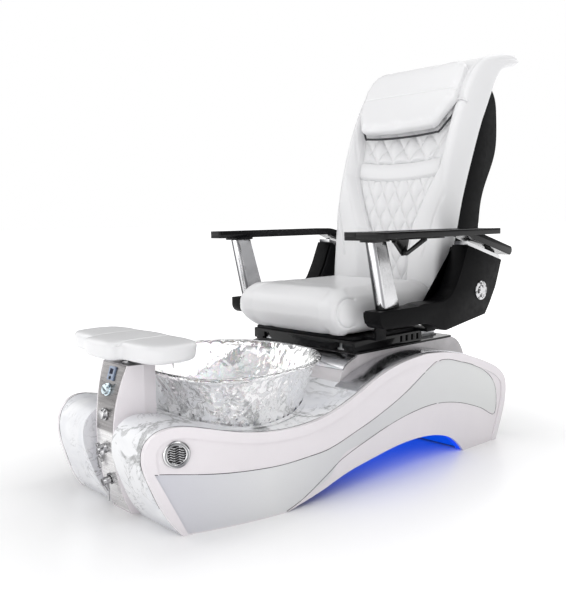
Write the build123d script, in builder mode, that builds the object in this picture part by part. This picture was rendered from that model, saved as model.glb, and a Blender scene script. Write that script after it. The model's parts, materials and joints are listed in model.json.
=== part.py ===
from build123d import *
import os
from math import cos, hypot, radians, sin, sqrt

# Pedicure spa chair. Millimetres, +Z up. The sitter faces -Y, the floor is z = 0 and the origin
# is on the floor, midway between the two side covers and midway along the base.

os.makedirs("parts", exist_ok=True)

# ---------------------------------------------------------------- driving dimensions
BASE_HALF = 375.0        # half width over the side covers
PANEL_T = 14.0           # thickness of a side cover
FIELD_DEPTH = 4.0        # how far the field of a side cover lies below its rim
RIM_WIDTH = 30.0         # width of the raised rim of a side cover
TUB_T = 10.0             # wall of the moulded tub
GAP = 0.5                # gap between neighbouring pieces
REACH = 900.0            # longer than any cut needs to be

PILLAR_TOP = 440.0       # height of the control pillar
PILLAR_BACK = -612.0     # rear face of the pillar
PILLAR_HALF = 80.0       # half width of the pillar at its rear
PILLAR_ARC_R = 563.0     # side-view radius of the pillar's front face
PILLAR_ARC_Y = -175.0    # centre of that arc
PILLAR_ARC_Z = 227.5

POST_Y = -650.0          # footrest post
POST_R = 16.0
FOOT_Z = 460.0           # underside of the footrest pad
FOOT_T = 55.0            # thickness of the footrest pad
FOOT_HINGE_Z = 447.0

BOWL_Z0 = 205.0          # underside of the glass basin
BOWL_Z1 = 412.0          # top of its rim
BOWL_WALL = 9.0
BOWL_Y = -302.0          # centre of the basin
DRAIN_R = 22.0

PLATE_Z = 396.0          # underside of the pedestal's top plate
PLATE_T = 7.0
PEDESTAL_HALF = 260.0

SEAT_HALF = 270.0        # half width of the seat cushion
SEAT_Z0 = 457.0
SEAT_Z1 = 620.0
ARM_IN = 309.0           # inner and outer planes of the arm covers and armrests
ARM_OUT = 377.0
SIDE_PLATE_IN = 298.0    # inner plane of the seat frame's side plates
SIDE_PLATE_T = 8.0

RECLINE_Y = 588.0        # recline pivot
RECLINE_Z = 577.0
SHAFT_R = 10.0
RUN_CLEAR = 0.05         # radial running clearance of every pivot

LIFT_Y = 775.0           # armrest hinge
LIFT_Z = 712.0
LIFT_PIN_R = 5.0
ARM_TOP = 803.0
ARM_UNDER = 777.0

BACK_HALF = 267.0        # half width of the back cushion
RAIL_Y = 640.0           # foot of the line that the back frame's rails follow
RAIL_Z = 700.0
RAIL_TILT = 21.6         # degrees from vertical
MASSAGE_AT = 290.0       # rest position of the massage unit along the rails

# Side view of the base, (y, z): over the top from the front edge to the rear edge.
TOP_LINE = [
    (-673, 0), (-723, 81), (-742, 130), (-762, 192), (-764, 232), (-752, 267), (-721, 293),
    (-675, 301), (-621, 292), (-545, 272), (-455, 254), (-345, 246), (-238, 253), (-157, 271),
    (-56, 306), (40, 345), (150, 372), (279, 383), (400, 373), (542, 340), (640, 306),
    (722, 266), (760, 224), (766, 190), (754, 120), (733, 68), (700, 0),
]
# The arch under the base, (y, z), from its rear foot to its front foot.
ARCH_LINE = [
    (496, 0), (475, 23), (424, 61), (366, 83), (281, 98), (190, 101), (96, 95), (-9, 81),
    (-139, 58), (-201, 40), (-293, 17), (-361, 0),
]
# Plan view of a side cover's outer face, (half width, y), from the nose to the straight part.
NOSE_LINE = [(236, -790), (288, -673), (335, -520), (363, -363), (373.5, -200), (BASE_HALF, 0)]
# The silver inlay of a side cover, (y, z): its upper edge, then its lower edge.
INLAY_UPPER = [
    (-739, 179), (-624, 163), (-466, 148), (-280, 149), (-190, 156), (39, 219), (165, 267),
    (275, 323), (392, 350),
]
INLAY_REAR = [(392, 350), (466, 332), (543, 310), (623, 276), (680, 232), (704, 176), (692, 100)]
INLAY_LOWER = [
    (692, 100), (598, 141), (468, 182), (336, 202), (208, 196), (80, 174), (-39, 143),
    (-138, 121), (-192, 69), (-255, 46), (-307, 24), (-361, 4),
]


# ---------------------------------------------------------------- helpers
def offset_points(points, distance):
    """Shift an open outline to the left of its direction by distance."""
    shifted = []
    last = len(points) - 1
    for i, (u, v) in enumerate(points):
        before = points[max(i - 1, 0)]
        after = points[min(i + 1, last)]
        run = hypot(after[0] - before[0], after[1] - before[1])
        normal_u = -(after[1] - before[1]) / run
        normal_v = (after[0] - before[0]) / run
        shifted.append((u + normal_u * distance, v + normal_v * distance))
    return shifted


def stretched(points, distance):
    """Lengthen an open outline by distance at both ends."""
    ends = []
    for (u, v), (next_u, next_v) in ((points[0], points[1]), (points[-1], points[-2])):
        run = hypot(u - next_u, v - next_v)
        ends.append((u + (u - next_u) / run * distance, v + (v - next_v) / run * distance))
    return [ends[0], *points[1:-1], ends[1]]


def on_floor(points, z=0.0):
    """Put the two ends of an outline at height z."""
    return [(points[0][0], z), *points[1:-1], (points[-1][0], z)]


def region(plane, *runs):
    """A closed face from runs of points: two points make a line, more make a spline."""
    with BuildSketch(plane) as face:
        with BuildLine():
            for i, run in enumerate(runs):
                if len(run) == 2:
                    Line(*run)
                else:
                    Spline(*run)
                start = runs[(i + 1) % len(runs)][0]
                if hypot(run[-1][0] - start[0], run[-1][1] - start[1]) > 1e-6:
                    Line(run[-1], start)
        make_face()
    return face.sketch


def polygon(plane, *points):
    """A closed face with straight sides."""
    with BuildSketch(plane) as face:
        with BuildLine():
            Polyline(*points, close=True)
        make_face()
    return face.sketch


def plan_band(outer, inner):
    """Plan-view strip of a side cover between two insets from its outer face, for x > 0."""
    outside = [(x - outer, y) for x, y in NOSE_LINE]
    inside = [(x - inner, y) for x, y in reversed(NOSE_LINE)]
    return region(
        Plane.XY,
        outside,
        [(BASE_HALF - outer, REACH), (BASE_HALF - inner, REACH)],
        inside,
    )


def plan_half(inset):
    """Plan-view half of the base inside the side covers, for x > 0."""
    outside = [(x - inset, y) for x, y in NOSE_LINE]
    return region(
        Plane.XY,
        outside,
        [(BASE_HALF - inset, REACH), (0, REACH)],
        [(0, -REACH), (outside[0][0], -REACH)],
    )


def block(x0, x1, y0, y1, z0, z1):
    """A box between two corners, as a free solid."""
    with BuildPart(Plane.XY.offset(z0)) as box:
        with Locations(((x0 + x1) / 2, (y0 + y1) / 2)):
            Box(x1 - x0, y1 - y0, z1 - z0, align=(Align.CENTER, Align.CENTER, Align.MIN))
    return box.part


def rod(start, end, radius, bore=0.0):
    """A round bar or tube from one point to another, as a free solid."""
    run = Vector(*end) - Vector(*start)
    with BuildPart() as bar:
        with BuildSketch(Plane(origin=start, z_dir=run)):
            Circle(radius)
            if bore:
                Circle(bore, mode=Mode.SUBTRACT)
        extrude(amount=run.length)
    return bar.part


def twin_of(piece):
    """The mirror image of a piece across the YZ plane."""
    with BuildPart() as twin:
        mirror(piece.part, about=Plane.YZ)
    return twin


def pair_of(piece):
    """A piece and its mirror image, as one group of separate solids."""
    with BuildPart() as pair:
        add(piece.part)
        mirror(piece.part, about=Plane.YZ)
    return pair


def save(piece, label):
    piece.part.label = label
    export_step(piece.part, f"parts/{label}.step")


# ---------------------------------------------------------------- base: tub and side covers
full_side = region(Plane.YZ, TOP_LINE)
arched_side = region(Plane.YZ, TOP_LINE, ARCH_LINE)
tub_inner_side = region(Plane.YZ, on_floor(offset_points(TOP_LINE, -TUB_T), -1.0))

# The basin's outlines: half-size shape, then its half width and half length at a height.
BOWL_SHAPE = [
    (0, -1.0), (0.42, -1.0), (0.80, -0.90), (0.985, -0.58), (1.0, -0.25), (0.93, 0.24),
    (0.72, 0.66), (0.40, 0.92), (0, 1.0),
]
BOWL_FOOT = (258.0, 210.0)
BOWL_LIP = (332.0, 292.0)


def bowl_size(z):
    t = (z - BOWL_Z0) / (BOWL_Z1 - BOWL_Z0)
    return tuple(a + (b - a) * t for a, b in zip(BOWL_FOOT, BOWL_LIP))


def bowl_face(z, grow, at=None):
    half_w, half_l = bowl_size(z)
    right = [(u * (half_w + grow), BOWL_Y + v * (half_l + grow)) for u, v in BOWL_SHAPE]
    left = [(-x, y) for x, y in reversed(right[1:-1])]
    with BuildSketch(Plane.XY.offset(z if at is None else at)) as face:
        with BuildLine():
            Spline(*right, *left, periodic=True)
        make_face()
    return face.sketch


with BuildPart() as half_width:
    extrude(plan_half(PANEL_T + GAP), amount=REACH)
    mirror(about=Plane.YZ)

with BuildPart() as tub_cavity:
    extrude(tub_inner_side, amount=REACH, both=True)

NOTCH_HALF = PILLAR_HALF + 3.0
NOTCH_BACK = PILLAR_BACK + 4.0
CHEEK_T = 8.0
with BuildPart() as cheek:
    extrude(region(Plane.YZ.offset(NOTCH_HALF), TOP_LINE), amount=CHEEK_T)
    add(block(-1, REACH, NOTCH_BACK, REACH, -1, REACH), mode=Mode.SUBTRACT)

# One moulded shell: front rolls either side of the pillar, the deck and the rear slope.
with BuildPart() as tub_shell:
    extrude(full_side, amount=REACH, both=True)
    add(tub_cavity.part, mode=Mode.SUBTRACT)
    add(half_width.part, mode=Mode.INTERSECT)
    add(block(-NOTCH_HALF, NOTCH_HALF, -REACH, NOTCH_BACK, -1, REACH), mode=Mode.SUBTRACT)
    add(cheek.part)
    mirror(cheek.part, about=Plane.YZ)
    extrude(bowl_face(300.0, 4.0, at=0.0), amount=REACH, mode=Mode.SUBTRACT)
    add(block(-225, 225, 60, 580, 200, REACH), mode=Mode.SUBTRACT)

with BuildPart() as panel_field:
    extrude(region(Plane.YZ, on_floor(offset_points(TOP_LINE, -RIM_WIDTH), -1.0)), amount=REACH)
    extrude(plan_band(-5.0, FIELD_DEPTH), amount=REACH, mode=Mode.INTERSECT)

inlay_side = region(Plane.YZ, INLAY_UPPER, INLAY_REAR, INLAY_LOWER, [(-361, 4), (-660, 4)])
INLAY_SEAT = FIELD_DEPTH + 3.0
with BuildPart() as inlay_pocket:
    extrude(inlay_side, amount=REACH)
    extrude(plan_band(-5.0, INLAY_SEAT), amount=REACH, mode=Mode.INTERSECT)

VENT_Y = -683.0
VENT_Z = 227.0
VENT_R = 38.0
VENT_FACE = 4.0
vent_x = 283.0
vent_turn = -66.6        # plan angle of the cover's outward normal at the grille
VENT_PLANE = Plane(
    origin=(vent_x, VENT_Y, VENT_Z),
    x_dir=(-sin(radians(vent_turn)), cos(radians(vent_turn)), 0),
    z_dir=(cos(radians(-23.4)), sin(radians(-23.4)), 0),
)

with BuildPart() as side_panel_right:
    extrude(arched_side, amount=REACH)
    extrude(plan_band(0.0, PANEL_T), amount=REACH, mode=Mode.INTERSECT)
    add(panel_field.part, mode=Mode.SUBTRACT)
    add(inlay_pocket.part, mode=Mode.SUBTRACT)
    with BuildSketch(VENT_PLANE):
        Circle(VENT_R - 4.0)
    extrude(amount=30.0, both=True, mode=Mode.SUBTRACT)
side_panel_left = twin_of(side_panel_right)

with BuildPart() as inlay_right:
    extrude(inlay_side, amount=REACH)
    extrude(plan_band(FIELD_DEPTH - 0.5, INLAY_SEAT - 0.2), amount=REACH, mode=Mode.INTERSECT)
side_insets = pair_of(inlay_right)

# A dished chrome grille with slots, standing on the cover's field.
with BuildPart() as vent_right:
    with BuildSketch(VENT_PLANE.offset(VENT_FACE)):
        Circle(VENT_R)
    extrude(amount=5.0)
    with BuildSketch(VENT_PLANE.offset(-6.0)):
        Circle(VENT_R - 5.0)
    extrude(amount=12.0)
    with BuildSketch(VENT_PLANE.offset(4.0)):
        Circle(VENT_R - 6.0)
    extrude(amount=12.0, mode=Mode.SUBTRACT)
    with BuildSketch(VENT_PLANE.offset(-7.0)):
        with GridLocations(0.0, 8.5, 1, 5):
            SlotOverall(42.0, 4.0)
    extrude(amount=14.0, mode=Mode.SUBTRACT)
vent_grilles = pair_of(vent_right)

# Silver ledges on the deck beside the pedestal.
ledge_line = [p for p in TOP_LINE if -60 < p[0] < 600]
with BuildPart() as ledge_right:
    extrude(
        region(
            Plane.YZ,
            offset_points(ledge_line, 4.0),
            list(reversed(offset_points(ledge_line, GAP))),
        ),
        amount=358.0,
    )
    add(block(-1, PEDESTAL_HALF + 3.0, -REACH, REACH, 0, REACH), mode=Mode.SUBTRACT)
deck_rails = pair_of(ledge_right)

# ---------------------------------------------------------------- base: arch, lights, frame, feet
LINER_LOW = 8.0
LINER_T = 4.0


def arch_sheet(low, high, x0, x1):
    """A sheet over the arch, between two offsets from it, from x0 to x1."""
    upper = offset_points(ARCH_LINE, -high)
    lower = list(reversed(offset_points(ARCH_LINE, -low)))
    with BuildPart() as sheet:
        extrude(region(Plane.YZ.offset(x0), upper, lower), amount=x1 - x0)
        add(block(x0 - 1, x1 + 1, -REACH, REACH, -50, 2.0), mode=Mode.SUBTRACT)
    return sheet


INSIDE_HALF = BASE_HALF - PANEL_T - GAP
with BuildPart() as arch_liner:
    add(arch_sheet(LINER_LOW, LINER_LOW + LINER_T, -INSIDE_HALF, INSIDE_HALF).part)
    add(half_width.part, mode=Mode.INTERSECT)

with BuildPart() as led_right:
    add(arch_sheet(GAP, LINER_LOW - GAP, INSIDE_HALF - 22.0, INSIDE_HALF - 1.0).part)
    add(half_width.part, mode=Mode.INTERSECT)
led_strips = pair_of(led_right)

FRAME_X = 235.0
FRAME_Z = 125.0
TUBE = 26.0
with BuildPart() as base_frame:
    for side in (-1, 1):
        x = side * FRAME_X
        add(block(x - TUBE / 2, x + TUBE / 2, -580, 640, FRAME_Z, FRAME_Z + TUBE))
        for y in (-567, 627):
            add(block(x - TUBE / 2, x + TUBE / 2, y - 13, y + 13, 20, FRAME_Z))
        for y in (-440, -140):
            add(block(x - TUBE / 2, x + TUBE / 2, y - 13, y + 13, FRAME_Z + TUBE, 204))
        for y in (110, 540):
            post_x = side * 205.0
            add(block(post_x - 13, post_x + 13, y - 13, y + 13, FRAME_Z, PLATE_Z - 6.0))
    for y in (-567, 110, 540, 627):
        add(block(-FRAME_X, FRAME_X, y - 13, y + 13, FRAME_Z, 151))
    for y in (-440, -140):
        add(block(-FRAME_X, FRAME_X, y - 13, y + 13, 178, 204))
    add(block(-FRAME_X, -100, 277, 303, FRAME_Z, 151))

with BuildPart() as levelling_feet:
    for x in (-FRAME_X, FRAME_X):
        for y in (-567, 627):
            with BuildSketch(Plane.XY):
                with Locations((x, y)):
                    Circle(20.0)
            extrude(amount=10.0)
            with BuildSketch(Plane.XY.offset(10.0)):
                with Locations((x, y)):
                    Circle(7.0)
            extrude(amount=9.5)

# ---------------------------------------------------------------- pedestal
PED_OUT = [(-35, 200), (-35, 290), (-27, 330), (0, 366), (48, 388), (62, PLATE_Z - GAP)]
PED_REAR = [(578, PLATE_Z - GAP), (612, 378), (640, 345), (655, 300)]
deck_side = region(Plane.YZ, on_floor(offset_points(TOP_LINE, GAP), -1.0))
ped_side = region(Plane.YZ, PED_OUT, [(62, PLATE_Z - GAP), (578, PLATE_Z - GAP)], PED_REAR)
PED_WALL = 7.0
ped_inner_out = [(y + PED_WALL, z - PED_WALL * 0.4) for y, z in PED_OUT]
ped_inner_rear = [(y - PED_WALL, z - PED_WALL * 0.6) for y, z in PED_REAR]
ped_hollow = region(Plane.YZ, ped_inner_out, ped_inner_rear)

with BuildPart() as pedestal_shell:
    extrude(ped_side, amount=PEDESTAL_HALF, both=True)
    extrude(ped_hollow, amount=PEDESTAL_HALF - PED_WALL, both=True, mode=Mode.SUBTRACT)
    extrude(deck_side, amount=REACH, both=True, mode=Mode.SUBTRACT)

TRIM_LINE = [(-12, 352), (6, 371), (32, 383), (54, 390)]
with BuildPart() as pedestal_trim:
    trim_side = region(
        Plane.YZ,
        offset_points(TRIM_LINE, 5.5),
        list(reversed(offset_points(TRIM_LINE, 2.0))),
    )
    extrude(trim_side, amount=PEDESTAL_HALF - 1.0, both=True)
    extrude(ped_side, amount=REACH, both=True, mode=Mode.SUBTRACT)

with BuildPart() as top_plate:
    with BuildSketch(Plane.XY.offset(PLATE_Z)):
        with Locations((0, 316)):
            RectangleRounded(2 * PEDESTAL_HALF + 4, 524, 12)
    extrude(amount=PLATE_T)
PLATE_TOP = PLATE_Z + PLATE_T

with BuildPart() as rail_right:
    with BuildSketch(Plane.XY.offset(PLATE_TOP)):
        with Locations((185, 306)):
            Rectangle(44, 490)
    extrude(amount=6.0)
    with BuildSketch(Plane.XY.offset(PLATE_TOP + 6.0)):
        with Locations((185, 306)):
            Rectangle(26, 490)
    extrude(amount=16.0)
seat_rails = pair_of(rail_right)

SLIDE_Z = PLATE_TOP + 15.0
with BuildPart() as slide_actuator:
    add(block(-32, 32, 480, 550, PLATE_TOP + GAP, PLATE_TOP + 32))
    add(rod((0, 480, SLIDE_Z), (0, 230, SLIDE_Z), 11.0, 8.0))

# ---------------------------------------------------------------- control pillar
PILLAR_LEVELS = [0.0, 90.0, 190.0, 290.0, 370.0, PILLAR_TOP]
STRIP_HALVES = [45.0, 42.0, 42.0, 46.0, 54.0, 64.0]
PILLAR_MARGIN = 6.0


def pillar_front(z):
    """y of the pillar's curved front face at height z."""
    return PILLAR_ARC_Y - sqrt(PILLAR_ARC_R**2 - (z - PILLAR_ARC_Z) ** 2)


def pillar_body(front_shift, half_shift):
    with BuildPart() as body:
        for z, half in zip(PILLAR_LEVELS, STRIP_HALVES):
            y = pillar_front(z) + front_shift
            w = half + PILLAR_MARGIN + half_shift
            with BuildSketch(Plane.XY.offset(z)):
                with BuildLine():
                    Polyline(
                        (-w, y),
                        (w, y),
                        (PILLAR_HALF, -650),
                        (PILLAR_HALF, PILLAR_BACK),
                        (-PILLAR_HALF, PILLAR_BACK),
                        (-PILLAR_HALF, -650),
                        close=True,
                    )
                make_face()
        loft()
    return body


def strip_body(low, high, half_shift, top):
    """A curved plate along the pillar's front, between two depths from its face."""
    with BuildPart() as body:
        for z, half in zip(PILLAR_LEVELS, STRIP_HALVES):
            y = pillar_front(z)
            with BuildSketch(Plane.XY.offset(z)):
                with Locations((0, y + (low + high) / 2)):
                    Rectangle(2 * (half + half_shift), high - low)
        loft()
        add(block(-REACH, REACH, -REACH, 0, -1, 6), mode=Mode.SUBTRACT)
        add(block(-REACH, REACH, -REACH, 0, top, REACH), mode=Mode.SUBTRACT)
    return body


def strip_plane(x, z, lift=0.0):
    """A plane on the strip's face at (x, z), facing out of it."""
    slope = (z - PILLAR_ARC_Z) / PILLAR_ARC_R
    facing = Vector(0, -cos(slope), sin(slope))
    face_y = pillar_front(z) - STRIP_PROUD
    origin = Vector(x, face_y, z) + facing * lift
    return Plane(origin=origin, x_dir=(1, 0, 0), z_dir=facing)


STRIP_T = 3.0
STRIP_PROUD = 1.2
SLEEVE_R = 22.0
with BuildPart() as pillar_shell:
    add(pillar_body(0.0, 0.0).part)
    add(
        strip_body(-20.0, STRIP_T - STRIP_PROUD + 0.2, 0.3, PILLAR_TOP + 1).part,
        mode=Mode.SUBTRACT,
    )
    add(block(-58, 58, -676, PILLAR_BACK - 8, -1, PILLAR_TOP - 20), mode=Mode.SUBTRACT)
    add(rod((0, POST_Y, 100), (0, POST_Y, REACH), SLEEVE_R + 0.05), mode=Mode.SUBTRACT)

with BuildPart() as control_strip:
    add(strip_body(-STRIP_PROUD, STRIP_T - STRIP_PROUD, 0.0, PILLAR_TOP - 1).part)

DISPLAY_Z = 412.0
with BuildPart() as display_unit:
    with BuildSketch(strip_plane(4.0, DISPLAY_Z, 0.3)):
        RectangleRounded(34, 42, 3)
    extrude(amount=5.0, taper=8)
    with BuildSketch(strip_plane(4.0, DISPLAY_Z + 5.0, 4.3)):
        Rectangle(18, 16)
    extrude(amount=3.0, mode=Mode.SUBTRACT)
    with BuildSketch(strip_plane(4.0, DISPLAY_Z - 13.0, 2.0)):
        Circle(4.6)
    extrude(amount=6.0, mode=Mode.SUBTRACT)

with BuildPart() as panel_button:
    with BuildSketch(strip_plane(4.0, DISPLAY_Z - 13.0, 3.9)):
        Circle(4.4)
    extrude(amount=3.2)


def thumb_knob(z):
    """A domed turning knob with a stepped bezel and a thumb tab."""
    with BuildPart() as knob:
        with BuildSketch(strip_plane(0, z, 0.6)):
            Circle(19.0)
        extrude(amount=2.0)
        with BuildSketch(strip_plane(0, z, 2.6)):
            Circle(19.0)
        extrude(amount=3.0, taper=12)
        with BuildSketch(strip_plane(0, z, 5.6)):
            Circle(15.0)
        extrude(amount=9.0, taper=8)
        with BuildSketch(strip_plane(0, z, 9.0)):
            with Locations(Location((12, 12), 45)):
                SlotOverall(22.0, 7.0)
        extrude(amount=5.0)
    return knob


KNOB_Z = (366.0, 296.0)
temperature_knob = thumb_knob(KNOB_Z[0])
flow_knob = thumb_knob(KNOB_Z[1])

CROSS_Z = 197.0
with BuildPart() as cross_handle:
    with BuildSketch(strip_plane(0, CROSS_Z, 0.6)):
        Circle(15.0)
    extrude(amount=3.0)
    with BuildSketch(strip_plane(0, CROSS_Z, 3.6)):
        Circle(15.0)
    extrude(amount=9.0, taper=10)
    with BuildSketch(strip_plane(0, CROSS_Z, 12.0)):
        with Locations(Location((0, 0), 45), Location((0, 0), 135)):
            SlotOverall(44.0, 9.0)
    extrude(amount=9.0)
    with BuildSketch(strip_plane(0, CROSS_Z, 12.0)):
        Circle(9.0)
    extrude(amount=14.0, taper=10)

LEVER_Z = 158.0
LEVER_X = -26.0
with BuildPart() as drain_lever:
    with BuildSketch(strip_plane(LEVER_X, LEVER_Z, 0.6)):
        Circle(8.0)
    extrude(amount=8.0)
    with BuildSketch(strip_plane(LEVER_X, LEVER_Z, 8.0)):
        with Locations((0, -6)):
            SlotOverall(38.0, 10.0, rotation=90)
    extrude(amount=6.0)

SPRAY_Z = 105.0
with BuildPart() as spray_valve:
    with BuildSketch(strip_plane(4, SPRAY_Z, 0.3)):
        Circle(17.0)
    extrude(amount=4.0)
    with BuildSketch(strip_plane(4, SPRAY_Z, 4.0)):
        Circle(11.0)
    extrude(amount=14.0)
    add(rod((4, -736, SPRAY_Z - 8), (4, -736, 40), 3.5))

with BuildPart() as spray_handle:
    with BuildSketch(strip_plane(4, SPRAY_Z, 18.6)):
        Circle(13.0)
    extrude(amount=10.0, taper=10)
    with BuildSketch(strip_plane(4, SPRAY_Z, 20.6)):
        with Locations(Location((6, -8), -50)):
            SlotOverall(40.0, 9.0)
    extrude(amount=6.0)

# ---------------------------------------------------------------- footrest
with BuildPart() as footrest_sleeve:
    add(rod((0, POST_Y, 330), (0, POST_Y, PILLAR_TOP + 2), SLEEVE_R, POST_R + RUN_CLEAR))

with BuildPart() as footrest_post:
    add(rod((0, POST_Y, 190), (0, POST_Y, PILLAR_TOP + 3), POST_R, POST_R - 3.0))
    add(block(-14, 14, POST_Y - 9, POST_Y + 9, PILLAR_TOP + 2.5, FOOT_Z - 4.5))
    with BuildSketch(Plane.YZ.offset(-REACH)):
        with Locations((POST_Y, FOOT_HINGE_Z + 4.0)):
            Circle(4.0 + RUN_CLEAR)
    extrude(amount=2 * REACH, mode=Mode.SUBTRACT)

with BuildPart() as footrest_bracket:
    add(block(-120, 120, POST_Y - 45, POST_Y + 70, FOOT_Z - 1.0, FOOT_Z + 3.0))
    for x in (-22, 22):
        add(block(x - 5, x + 5, POST_Y - 9, POST_Y + 9, PILLAR_TOP + 6.0, FOOT_Z - 1.0))
    add(rod((-27, POST_Y, FOOT_HINGE_Z + 4), (27, POST_Y, FOOT_HINGE_Z + 4), 4.0))

# The pad in plan: back edge, flared sides, two front lobes and a middle lobe that stands out.
PAD_RIGHT = [
    (0, -540), (176, -540), (232, -560), (256, -600), (254, -668), (232, -705), (170, -722),
    (84, -728), (78, -752), (52, -766), (0, -770),
]
with BuildPart() as footrest_pad:
    with BuildSketch(Plane.XY.offset(FOOT_Z)):
        with BuildLine():
            Line(PAD_RIGHT[0], PAD_RIGHT[1])
            Spline(*PAD_RIGHT[1:7])
            Line(PAD_RIGHT[6], PAD_RIGHT[7])
            Spline(*PAD_RIGHT[7:])
            Line(PAD_RIGHT[-1], PAD_RIGHT[0])
        make_face()
        mirror(about=Plane.YZ)
    extrude(amount=FOOT_T)
    fillet(faces().sort_by(Axis.Z)[-1].edges(), 4.0)
    add(block(-122, 122, POST_Y - 47, POST_Y + 72, FOOT_Z - 1, FOOT_Z + 3.5), mode=Mode.SUBTRACT)
    for x in (-79, 79):
        add(block(x - 1.2, x + 1.2, -REACH, 0, FOOT_Z + FOOT_T - 4, REACH), mode=Mode.SUBTRACT)

# ---------------------------------------------------------------- basin and drain
RIM_OUT = 13.0
RIM_H = 15.0
with BuildPart() as basin:
    loft([bowl_face(BOWL_Z0, 0.0), bowl_face(BOWL_Z1 - 2, 0.0)])
    extrude(bowl_face(BOWL_Z1, RIM_OUT, at=BOWL_Z1 - RIM_H), amount=RIM_H)
    fillet(faces().sort_by(Axis.Z)[-1].edges(), 6.0)
    loft(
        [bowl_face(BOWL_Z0, -BOWL_WALL, at=BOWL_Z0 + 10), bowl_face(BOWL_Z1, -BOWL_WALL, at=REACH / 2)],
        mode=Mode.SUBTRACT,
    )
    with BuildSketch(Plane.XY.offset(BOWL_Z0 - 1)):
        with Locations((0, BOWL_Y)):
            Circle(DRAIN_R)
    extrude(amount=20, mode=Mode.SUBTRACT)

FLOOR_IN = BOWL_Z0 + 10.0
with BuildPart() as drain_fitting:
    with BuildSketch(Plane.XY.offset(FLOOR_IN + 0.2)):
        with Locations((0, BOWL_Y)):
            Circle(36.0)
    extrude(amount=3.0)
    with BuildSketch(Plane.XY.offset(164.0)):
        with Locations((0, BOWL_Y)):
            Circle(DRAIN_R - 0.3)
    extrude(amount=FLOOR_IN + 0.2 - 164.0)
    with BuildSketch(Plane.XY.offset(150.0)):
        with Locations((0, BOWL_Y)):
            Circle(16.0)
    extrude(amount=100.0, mode=Mode.SUBTRACT)

with BuildPart() as drain_stopper:
    with BuildSketch(Plane.XY.offset(FLOOR_IN + 3.6)):
        with Locations((0, BOWL_Y)):
            Circle(26.0)
    extrude(amount=5.0, taper=20)
    with BuildSketch(Plane.XY.offset(176.0)):
        with Locations((0, BOWL_Y)):
            Circle(4.0)
    extrude(amount=FLOOR_IN + 3.6 - 176.0)

PIPE_R = 20.0
PIPE_Z = 178.0
OUTLET_Y = 790.0
with BuildPart() as drain_pipe:
    with BuildLine():
        FilletPolyline(
            (0, BOWL_Y, 163),
            (0, BOWL_Y, 112),
            (0, -90, 112),
            (0, 60, PIPE_Z),
            (0, OUTLET_Y, PIPE_Z),
            radius=[30, 60, 60],
        )
    with BuildSketch(Plane(origin=(0, BOWL_Y, 163), z_dir=(0, 0, -1))):
        Circle(PIPE_R)
        Circle(PIPE_R - 3.0, mode=Mode.SUBTRACT)
    sweep()

with BuildPart() as jet_motor:
    with BuildSketch(Plane.XY.offset(138.0)):
        with Locations((165, -290)):
            Circle(42.0)
    extrude(amount=BOWL_Z0 - 0.5 - 138.0)
    fillet(faces().sort_by(Axis.Z)[0].edges(), 6.0)

# ---------------------------------------------------------------- services
INLET_X = 70.0
INLET_Z = 162.0
INLET_R = 10.475
with BuildPart() as supply_hoses:
    for x in (-INLET_X, INLET_X):
        add(rod((x, PILLAR_BACK + GAP, INLET_Z), (x, 734, INLET_Z), 6.0, 4.0))

with BuildPart() as service_panel:
    add(block(-160, 110, 767.5, 772, 120, 204))
    for x in (-INLET_X, INLET_X):
        add(rod((x, 735, INLET_Z), (x, OUTLET_Y, INLET_Z), INLET_R, 6.0))
    add(rod((0, 700, PIPE_Z), (0, REACH, PIPE_Z), PIPE_R + 0.3), mode=Mode.SUBTRACT)
    add(block(-148, -104, 762, 780, 146, 182))
    add(block(-144, -108, 770, 790, 150, 178), mode=Mode.SUBTRACT)
with BuildPart() as tub:
    add(tub_shell.part)
    for x in (-INLET_X, INLET_X):
        add(rod((x, 700, INLET_Z), (x, REACH, INLET_Z), INLET_R + 0.4), mode=Mode.SUBTRACT)
    add(rod((0, 700, PIPE_Z), (0, REACH, PIPE_Z), PIPE_R + 0.4), mode=Mode.SUBTRACT)
    add(block(-150, -102, 700, 790, 144, 184), mode=Mode.SUBTRACT)

with BuildPart() as power_box:
    with BuildSketch(Plane.XY.offset(151.5)):
        with Locations((-137, 290)):
            RectangleRounded(78, 170, 8)
    extrude(amount=70.0)

# ---------------------------------------------------------------- seat: carriage, frame, cushion
CAR_Z0 = PLATE_TOP + 1.0
CAR_Z1 = 440.0
with BuildPart() as seat_carriage:
    add(block(-256, 256, 45, 400, CAR_Z0, CAR_Z1))
    for x in (-185, 185):
        add(block(x - 23, x + 23, 0, 500, CAR_Z0 - 1, CAR_Z0 + 7), mode=Mode.SUBTRACT)
        add(block(x - 14, x + 14, 0, 500, CAR_Z0 - 1, CAR_Z0 + 25), mode=Mode.SUBTRACT)
    add(block(-36, 36, 70, 500, CAR_Z0 - 1, CAR_Z1 - 3), mode=Mode.SUBTRACT)
    for y in (285, 315, 345, 375):
        for side in (-1, 1):
            add(block(side * 253 - 4, side * 253 + 4, y - 6, y + 6, 412, 432), mode=Mode.SUBTRACT)

with BuildPart() as slide_rod:
    add(rod((0, 70.5, SLIDE_Z), (0, 355, SLIDE_Z), 7.95))
    add(block(-20, 20, 70.5, 84, CAR_Z0 + 1, CAR_Z1 - 3.5))

# Side view of an arm cover, (y, z).
COVER_UNDER = [(618, 488), (383, 453), (345, 462), (305, 480), (262, 488), (70, 490)]
COVER_TOP = [(35, 548), (230, 550), (330, 555), (390, 564), (425, 588), (448, 620), (470, 660)]
COVER_REAR = [(507, 744), (722, 682), (708, 644), (684, 584), (647, 526), (618, 488)]


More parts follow.
